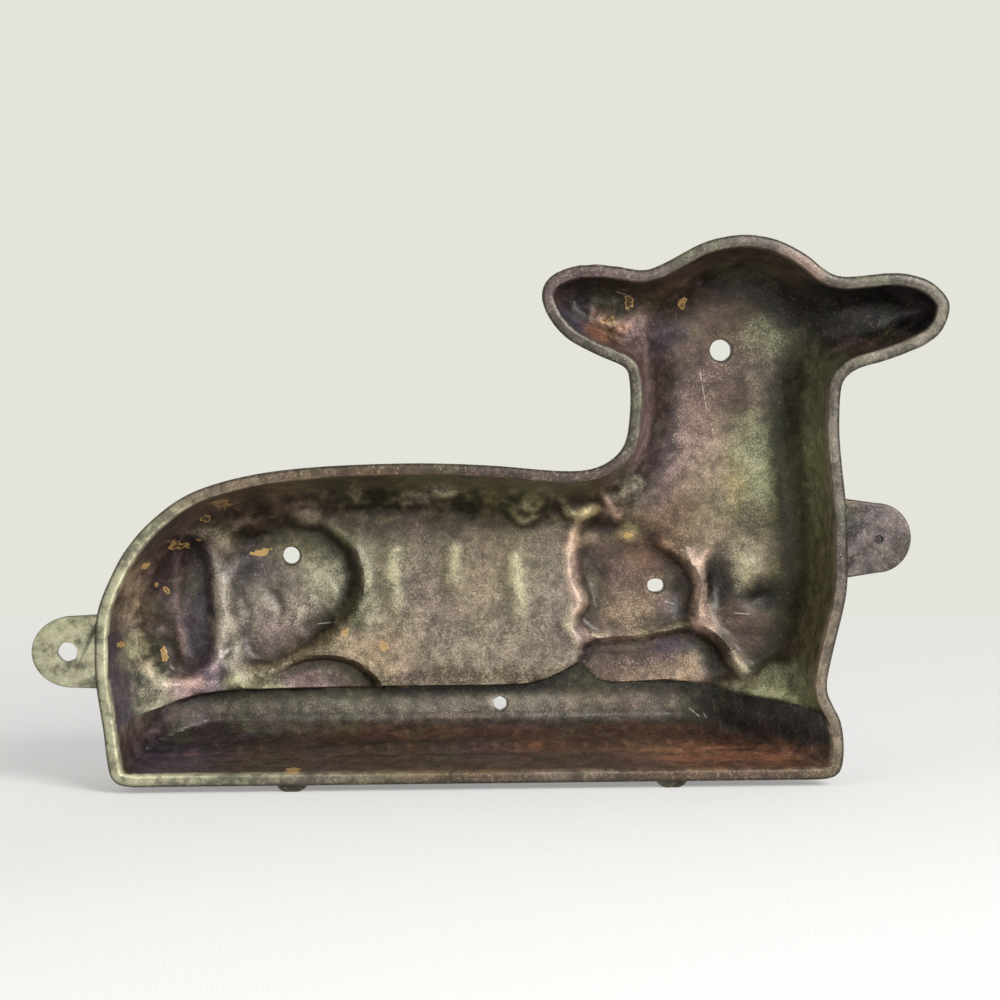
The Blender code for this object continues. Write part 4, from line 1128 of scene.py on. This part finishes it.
# tones laid over a cloud: where it starts, where it is full, share, tone
layers = {
    "plum": (0.52, 0.66, 0.24, (96, 74, 78)),
    "olive": (0.48, 0.34, 0.24, (92, 94, 62)),
    "warm": (0.54, 0.66, 0.14, (160, 130, 112)),
    "green": (0.46, 0.34, 0.20, (70, 70, 50)),
    "pits": (0.42, 0.34, 0.30, (30, 27, 24)),
    "copper": (0.50, 0.66, 0.42, (158, 104, 72)),
    "bright": (0.58, 0.72, 0.18, (170, 154, 136)),
    "shade": (0.46, 0.32, 0.65, (34, 27, 25)),
    "worn": (0.52, 0.64, 0.09, (190, 182, 160)),
    "smudge": (0.52, 0.36, 0.42, (62, 54, 46)),
}
marks = {
    "sootTone": (34, 27, 24),
    "sootShare": 0.75,
    "sootEdge": (1.30, 1.08),  # as a share of the vent
    "sootShift": (0.35, -0.25),
    "lacquerTone": (224, 182, 110),
    "lacquerEdge": (1.12, 0.92),
    "lacquerHollow": (0.55, 0.80),
    "raggedSpan": (0.3, 0.7),
    "ragged": 0.45,
    "scratchTone": (214, 206, 190),
    "scratchEdge": (1.6, 0.5),  # as a share of the half width
    "scratchEnds": 1.0,
    "scratchBreaks": (0.36, 0.5, 0.2, 1.0),
}
# flakes of old lacquer: x, z, half width, half height, turn in degrees, how full, strength
flakes = (
    (-98, 101.7, 2.7, 1.5, 8, 0.15, 0.75), (-104.9, 96.3, 1.6, 1.1, 20, 0.05, 0.7),
    (-116, 86, 2.8, 1.7, -10, 0.1, 0.7), (-108.8, 87.8, 1, 0.7, 0, 0.9, 0.6),
    (-126.6, 79.4, 1.6, 0.7, 40, 1, 0.8), (-121.4, 68.3, 1.2, 1.8, 0, 0.1, 0.65),
    (-125, 71, 0.5, 0.9, 0, 1, 0.5), (-135.8, 50.4, 0.9, 1, 0, 0.9, 0.6),
    (-123.4, 44.2, 1, 2.6, 10, 0.6, 0.6), (-86.6, 82.4, 3.6, 1.2, 12, 0.9, 0.8),
    (-54.4, 51.7, 1.4, 1.4, 0, 0.7, 0.55), (-39.7, 46.6, 1.5, 1.5, 0, 0.7, 0.55),
    (53.2, 174.8, 1.5, 2.1, 10, 0.1, 0.65), (74, 174.4, 1.5, 1.8, 0, 0.35, 0.55),
    (45.8, 167.5, 2.2, 1.4, 20, 0.3, 0.35), (53.6, 87.2, 1.6, 1, 0, 0.9, 0.6),
    (-72, 4.9, 2.4, 0.7, 0, 1, 0.5), (-33, 30.6, 2, 0.6, -10, 0.9, 0.4),
)
# thin scratches: from x, z to x, z, half width, strength
scratches = (
    (80.6, 149.5, 83.4, 134, 0.16, 0.5), (93, 57.6, 99.5, 57, 0.14, 0.6),
    (76, 21, 80.5, 17.5, 0.2, 0.6), (81.5, 19.5, 83, 17, 0.2, 0.5),
    (-66, 54.5, -57.5, 55.5, 0.14, 0.5), (-31, 44, -24, 41, 0.12, 0.3),
    (48, 178.5, 52.5, 177, 0.14, 0.5), (67, 62, 71.5, 60.5, 0.16, 0.5),
)


class NodeDesk:
    # short ways to add and link shader nodes
    def __init__(self, material):
        self.tree = material.node_tree
        self.count = 0

    def add(self, kind, settings=None, **links):
        node = self.tree.nodes.new(kind)
        node.location = (200 * (self.count % 12) - 2400, -220 * (self.count // 12))
        self.count += 1
        for name, value in (settings or {}).items():
            if name in node.inputs:
                node.inputs[name].default_value = value
            else:
                setattr(node, name, value)
        for name, source in links.items():
            self.link(source, node.inputs[name])
        return node

    def link(self, source, socket):
        self.tree.links.new(source, socket)

    def feed(self, sockets, *values):
        for value, socket in zip(values, sockets):
            if isinstance(value, bpy.types.NodeSocket):
                self.link(value, socket)
            elif value is not None:
                socket.default_value = value

    def math(self, operation, first, second=None, clamp=False):
        node = self.add("ShaderNodeMath", {"operation": operation, "use_clamp": clamp})
        self.feed(node.inputs, first, second)
        return node.outputs[0]

    def times(self, first, *others):
        for other in others:
            first = self.math("MULTIPLY", first, other)
        return first

    def plus(self, first, *others):
        for other in others:
            first = self.math("ADD", first, other)
        return first

    def vector(self, operation, first, second=None):
        node = self.add("ShaderNodeVectorMath", {"operation": operation})
        self.feed(node.inputs, first, second)
        return node.outputs["Value" if operation in ("LENGTH", "DOT_PRODUCT") else "Vector"]

    def cloud(self, vector, name):
        size, detail, rough = iron[name]
        node = self.add("ShaderNodeTexNoise", {"Scale": 1.0 / size, "Detail": detail,
                                               "Roughness": rough}, Vector=vector)
        return node.outputs["Fac"]

    def remap(self, value, low, high, toLow=0.0, toHigh=1.0):
        node = self.add("ShaderNodeMapRange", {"From Min": low, "From Max": high,
                                               "To Min": toLow, "To Max": toHigh,
                                               "interpolation_type": "SMOOTHSTEP"},
                        Value=value)
        return node.outputs["Result"]

    def mix(self, factor, first, second, blend="MIX"):
        node = self.add("ShaderNodeMix", {"data_type": "RGBA", "blend_type": blend})
        self.feed([node.inputs[i] for i in (0, 6, 7)], factor, first, second)
        return node.outputs[2]


def tone(red, green, blue):
    return (*[float(v) for v in paint(red, green, blue)], 1.0)


def addLayer(desk, colour, name, cloud, *masks):
    start, full, share, layerTone = layers[name]
    amount = desk.times(desk.remap(cloud, start, full, 0.0, share), *masks)
    return desk.mix(amount, colour, tone(*layerTone))


def ironMaterial(name, origin, isBack):
    material = bpy.data.materials.new(name)
    material.use_nodes = True
    shader = material.node_tree.nodes["Principled BSDF"]
    desk = NodeDesk(material)
    place = desk.add("ShaderNodeTexCoord").outputs["Object"]
    tint = desk.add("ShaderNodeAttribute", {"attribute_name": "tint"}).outputs["Color"]
    masks = desk.add("ShaderNodeAttribute", {"attribute_name": "masks"}).outputs
    split = desk.add("ShaderNodeSeparateColor", Color=masks["Color"])
    mist, rim, streak = split.outputs[0], split.outputs[1], split.outputs[2]
    clouds = ("grain", "dust", "fleck", "mottle", "drift")
    grain, dust, fleck, mottle, drift = [desk.cloud(place, cloud) for cloud in clouds]

    # slow changes of hue between plum and olive, and quick ones from grain to grain
    colour = tint
    for layer, cloud in (("plum", drift), ("olive", drift), ("warm", fleck), ("green", fleck)):
        colour = addLayer(desk, colour, layer, cloud)
    mottled = desk.remap(mottle, *iron["mottleSpan"], *iron["mottleShade"])
    colour = desk.mix(1.0, colour, mottled, "MULTIPLY")
    grainPart, dustPart = iron["salt"]
    salt = desk.plus(desk.times(grain, grainPart), desk.times(dust, dustPart))
    salted = desk.remap(salt, *iron["saltSpan"], *iron["saltShade"])
    grainy = desk.math("SUBTRACT", 1.0, desk.times(rim, iron["rimSmooth"]))
    colour = desk.mix(grainy, colour, desk.mix(1.0, colour, salted, "MULTIPLY"))

    # pale grains where the skin is rubbed, dark pits between them
    cover = desk.plus(grain, desk.times(mist, iron["rubbedMist"]),
                      desk.times(mottle, iron["rubbedMottle"]))
    light = desk.remap(cover, *iron["rubbedSpan"])
    pale = desk.mix(iron["rubbedMix"], colour, tone(*iron["rubbedTone"]))
    colour = desk.mix(desk.times(light, iron["rubbedShare"]), colour, pale)
    colour = addLayer(desk, colour, "pits", dust)

    # brushed marks along the base
    stretch = desk.add("ShaderNodeMapping", {"Scale": (iron["brushStretch"], 1.0, 1.0)},
                       Vector=place)
    lift = desk.add("ShaderNodeCombineXYZ", Z=desk.times(drift, iron["brushWave"]))
    waved = desk.vector("ADD", stretch.outputs[0], lift.outputs[0])
    brushed, wide = desk.cloud(waved, "brushed"), desk.cloud(waved, "wide")
    clean = desk.remap(mist, *iron["cleanSpan"])
    colour = addLayer(desk, colour, "copper", wide, streak, clean)
    colour = addLayer(desk, colour, "bright", brushed, streak)
    colour = addLayer(desk, colour, "shade", wide, streak)

    # the rim is worn in small spots of bare grey metal
    colour = addLayer(desk, colour, "worn", fleck, rim)
    colour = addLayer(desk, colour, "smudge", mottle, rim)
    if isBack:
        colour = addMarks(desk, place, origin, colour, masks["Alpha"])

    roughness = desk.remap(mottle, *iron["roughSpan"], *iron["roughness"])
    rubbed = desk.times(light, iron["rubbedRoughness"])
    roughness = desk.math("ADD", roughness, rubbed, clamp=True)
    height = desk.plus(
        desk.times(desk.math("SUBTRACT", grain, 0.5), iron["grainBump"]),
        desk.times(desk.math("SUBTRACT", mottle, 0.5), iron["mottleBump"]),
        desk.times(brushed, streak, iron["grooveBump"]))
    bump = desk.add("ShaderNodeBump", {"Strength": 1.0, "Distance": 1.0}, Height=height)
    desk.link(colour, shader.inputs["Base Color"])
    desk.link(roughness, shader.inputs["Roughness"])
    desk.link(bump.outputs[0], shader.inputs["Normal"])
    shader.inputs["Metallic"].default_value = iron["metallic"]
    return material


def addMarks(desk, place, origin, colour, inside):
    wobble = desk.cloud(place, "wobble")
    # marks lie on the drawing, so they are measured across x and z alone
    flat = desk.vector("MULTIPLY", desk.vector("SUBTRACT", place, tuple(origin)),
                       (1.0 / mm, 0.0, 1.0 / mm))
    ragged = desk.remap(wobble, *marks["raggedSpan"], -marks["ragged"], marks["ragged"])
    # soot round the vents, a little more to the lower right
    right, up = marks["sootShift"]
    for hole in vents:
        offset = desk.vector("SUBTRACT", flat, (hole["x"] + right, 0.0, hole["z"] + up))
        scaled = desk.vector("MULTIPLY", offset, (2.0 / hole["width"], 0.0, 2.0 / hole["height"]))
        ring = desk.remap(desk.vector("LENGTH", scaled), *marks["sootEdge"])
        mask = desk.times(ring, marks["sootShare"], inside)
        colour = desk.mix(mask, colour, tone(*marks["sootTone"]))
    for x, z, halfWidth, halfHeight, turn, full, strength in flakes:
        offset = desk.vector("SUBTRACT", flat, (x, 0.0, z))
        spin = desk.add("ShaderNodeVectorRotate", {"rotation_type": "Y_AXIS",
                                                   "Angle": math.radians(turn)}, Vector=offset)
        scaled = desk.vector("MULTIPLY", spin.outputs[0], (1.0 / halfWidth, 0.0, 1.0 / halfHeight))
        reach = desk.plus(desk.vector("LENGTH", scaled), ragged)
        outer = desk.remap(reach, *marks["lacquerEdge"])
        inner = desk.remap(reach, *marks["lacquerHollow"], full, 1.0)
        mask = desk.times(outer, inner, strength, inside)
        colour = desk.mix(mask, colour, tone(*marks["lacquerTone"]))
    broken = desk.remap(wobble, *marks["scratchBreaks"])
    for x0, z0, x1, z1, halfWidth, strength in scratches:
        span = Vector((x1 - x0, 0.0, z1 - z0))
        length, ends = span.length, marks["scratchEnds"]
        offset = desk.vector("SUBTRACT", flat, (x0, 0.0, z0))
        along = desk.vector("DOT_PRODUCT", offset, tuple(span / length))
        across = desk.vector("DOT_PRODUCT", offset, (-span.z / length, 0.0, span.x / length))
        start, stop = desk.remap(along, 0.0, ends), desk.remap(along, length, length - ends)
        edge = [share * halfWidth for share in marks["scratchEdge"]]
        line = desk.remap(desk.math("ABSOLUTE", across), *edge)
        mask = desk.times(line, start, stop, strength, broken, inside)
        colour = desk.mix(mask, colour, tone(*marks["scratchTone"]))
    return colour


halves = (
    {"node": "back_half", "piece": "backShell", "slot": "back_iron", "side": 1.0,
     "recesses": sharedRecesses + (tail,), "ridges": bodyRidges + fleeceRidges + tailRidges,
     "swellings": bodySwellings, "holes": vents, "dimple": True, "seed": 2, "grid": 1.3},
    {"node": "front_half", "piece": "frontShell", "slot": "front_iron", "side": -1.0,
     "recesses": sharedRecesses, "ridges": bodyRidges + fleeceRidges + faceRidges,
     "swellings": bodySwellings + faceSwellings, "holes": (), "dimple": False, "seed": 6,
     "grid": 1.7},
)


def buildHalf(half):
    form = HalfForm(half)
    piece = toObject(shellMesh(form, half["grid"]), half["piece"])
    joined = [tabPiece(tabs["left"]), tabPiece(tabs["right"])]
    joined += [footPiece(form, place) for place in feet["places"]]
    applyBooleans(piece, joined, "UNION")
    start, reach = casting["cutFrom"], casting["baseDepth"] + casting["cutBeyond"]
    cutters = [cutterPiece(hole, start, reach) for hole in (*half["holes"], tabs["hole"])]
    if half["dimple"]:
        floor = tabs["setback"] + tabs["dimple"]["depth"]
        cutters.append(cutterPiece(tabs["dimple"], start, floor))
    applyBooleans(piece, cutters, "DIFFERENCE")
    paintPiece(piece, form)
    origin = placePiece(piece, half["node"], half["side"])
    piece.data.materials.clear()
    piece.data.materials.append(ironMaterial(half["piece"] + "Iron", origin, half["side"] > 0))
    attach(piece, half["node"])
    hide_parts(half["node"])
    print(half["piece"], "built with", len(piece.data.polygons), "faces")
    return origin


backOrigin = buildHalf(halves[0])
buildHalf(halves[1])

stage = {
    "floorSize": 12.0,
    "cloth": (250, 249, 247),
    "thread": (188, 186, 184),
    "threadShare": 0.42,
    "weave": 0.0011,  # metres between threads
    "waveScale": 0.314,
    "weaveTurn": 38.0,
    "weaveWander": 0.6,
    "weaveBump": {"Strength": 0.35, "Distance": 0.0004},
    "clothRoughness": 0.95,
    "clothShine": 0.2,
    "backdrop": (228, 228, 219),
    "nearGlow": 0.3,  # share of the plain backdrop mixed into the cloth beside the object
    "fade": (0.30, 1.3),
    "worldLight": 0.46,
    "aimHeight": 0.09,
}
lamps = {
    "key": {"place": (0.85, -1.30, 0.75), "size": 0.7, "power": 30.0},
    "fill": {"place": (-1.2, -1.1, 0.9), "size": 1.4, "power": 3.5},
}
camera = {
    "distance": 0.900,
    "eye": (0.0050, 0.1325),  # to the right of the drawing's zero and above it
    "pixelsEachMillimetre": 2.77,
    "frameWidth": 1000.0,
    "rimRow": 785.0,  # row of the photograph where the rim's lower edge lies
    "roll": -0.0115,
    "sensor": 36.0,
}


def seenMix(desk, plain, lit, share):
    # the plain tone shows to the camera and in reflections, and gives no light
    path = desk.add("ShaderNodeLightPath").outputs
    seen = desk.math("MAXIMUM", path["Is Camera Ray"], path["Is Glossy Ray"])
    seen = desk.math("MAXIMUM", seen, path["Is Transmission Ray"])
    blend = desk.add("ShaderNodeMixShader")
    desk.feed(blend.inputs, desk.times(seen, share), lit, plain)
    return blend.outputs[0]


def buildFloor():
    bm = bmesh.new()
    bmesh.ops.create_grid(bm, x_segments=1, y_segments=1, size=stage["floorSize"] / 2.0)
    floor = toObject(bm, "floor")
    material = bpy.data.materials.new("paleCloth")
    material.use_nodes = True
    shader = material.node_tree.nodes["Principled BSDF"]
    desk = NodeDesk(material)
    place = desk.add("ShaderNodeTexCoord").outputs["Object"]
    turn = (0.0, 0.0, math.radians(stage["weaveTurn"]))
    turned = desk.add("ShaderNodeMapping", {"Rotation": turn}, Vector=place).outputs[0]
    waves = [desk.add("ShaderNodeTexWave", {
        "bands_direction": direction, "Scale": stage["waveScale"] / stage["weave"],
        "Distortion": stage["weaveWander"], "Detail": 1.0}, Vector=turned).outputs["Fac"]
        for direction in ("X", "Y")]
    threads = desk.times(*waves)
    cloth = tone(*stage["cloth"])
    colour = desk.mix(desk.times(threads, stage["threadShare"]), cloth, tone(*stage["thread"]))
    desk.link(colour, shader.inputs["Base Color"])
    shader.inputs["Roughness"].default_value = stage["clothRoughness"]
    shader.inputs["Specular IOR Level"].default_value = stage["clothShine"]
    bump = desk.add("ShaderNodeBump", stage["weaveBump"], Height=threads)
    desk.link(bump.outputs[0], shader.inputs["Normal"])
    # the cloth gives way to the plain backdrop further out
    length = desk.vector("LENGTH", place)
    near = desk.remap(length, *stage["fade"])
    far = desk.remap(length, *stage["fade"], stage["nearGlow"], 1.0)
    glow = desk.add("ShaderNodeEmission", Color=desk.mix(near, cloth, tone(*stage["backdrop"])))
    seen = seenMix(desk, glow.outputs[0], shader.outputs[0], far)
    desk.link(seen, material.node_tree.nodes["Material Output"].inputs[0])
    floor.data.materials.append(material)


def buildWorld():
    world = bpy.data.worlds.new("softRoom")
    bpy.context.scene.world = world
    world.use_nodes = True
    desk = NodeDesk(world)
    light = world.node_tree.nodes["Background"]
    light.inputs[0].default_value = (1.0, 1.0, 1.0, 1.0)
    light.inputs[1].default_value = stage["worldLight"]
    plain = desk.add("ShaderNodeBackground", {"Color": tone(*stage["backdrop"])})
    seen = seenMix(desk, plain.outputs[0], light.outputs[0], 1.0)
    desk.link(seen, world.node_tree.nodes["World Output"].inputs[0])


def addLamp(name, target):
    lamp = bpy.data.lights.new(name, "AREA")
    lamp.size = lamps[name]["size"]
    lamp.energy = lamps[name]["power"]
    holder = bpy.data.objects.new(name, lamp)
    bpy.context.scene.collection.objects.link(holder)
    holder.location = target + Vector(lamps[name]["place"])
    holder.rotation_euler = (target - holder.location).to_track_quat("-Z", "Y").to_euler()


def buildCamera(origin, plane):
    view = bpy.data.cameras.new("camera")
    holder = bpy.data.objects.new("camera", view)
    bpy.context.scene.collection.objects.link(holder)
    bpy.context.scene.camera = holder
    across, up = camera["eye"]
    eye = Vector((origin.x + across, plane - camera["distance"], origin.z + up))
    scale = camera["pixelsEachMillimetre"] * 1000.0
    middle = (camera["rimRow"] - 0.5 * camera["frameWidth"]) / scale
    target = Vector((eye.x, plane, origin.z + middle))
    view.sensor_width = camera["sensor"]
    view.lens = camera["sensor"] * camera["distance"] * scale / camera["frameWidth"]
    holder.location = eye
    holder.rotation_euler = (target - eye).to_track_quat("-Z", "Y").to_euler()
    holder.rotation_euler.rotate_axis("Z", camera["roll"])


buildFloor()
buildWorld()
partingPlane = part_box("back_half")[0].y
centre = Vector((backOrigin.x, partingPlane, backOrigin.z + stage["aimHeight"]))
for lampName in lamps:
    addLamp(lampName, centre)
buildCamera(backOrigin, partingPlane)
bpy.context.scene.view_settings.view_transform = "Standard"
print("floor, light and camera ready")
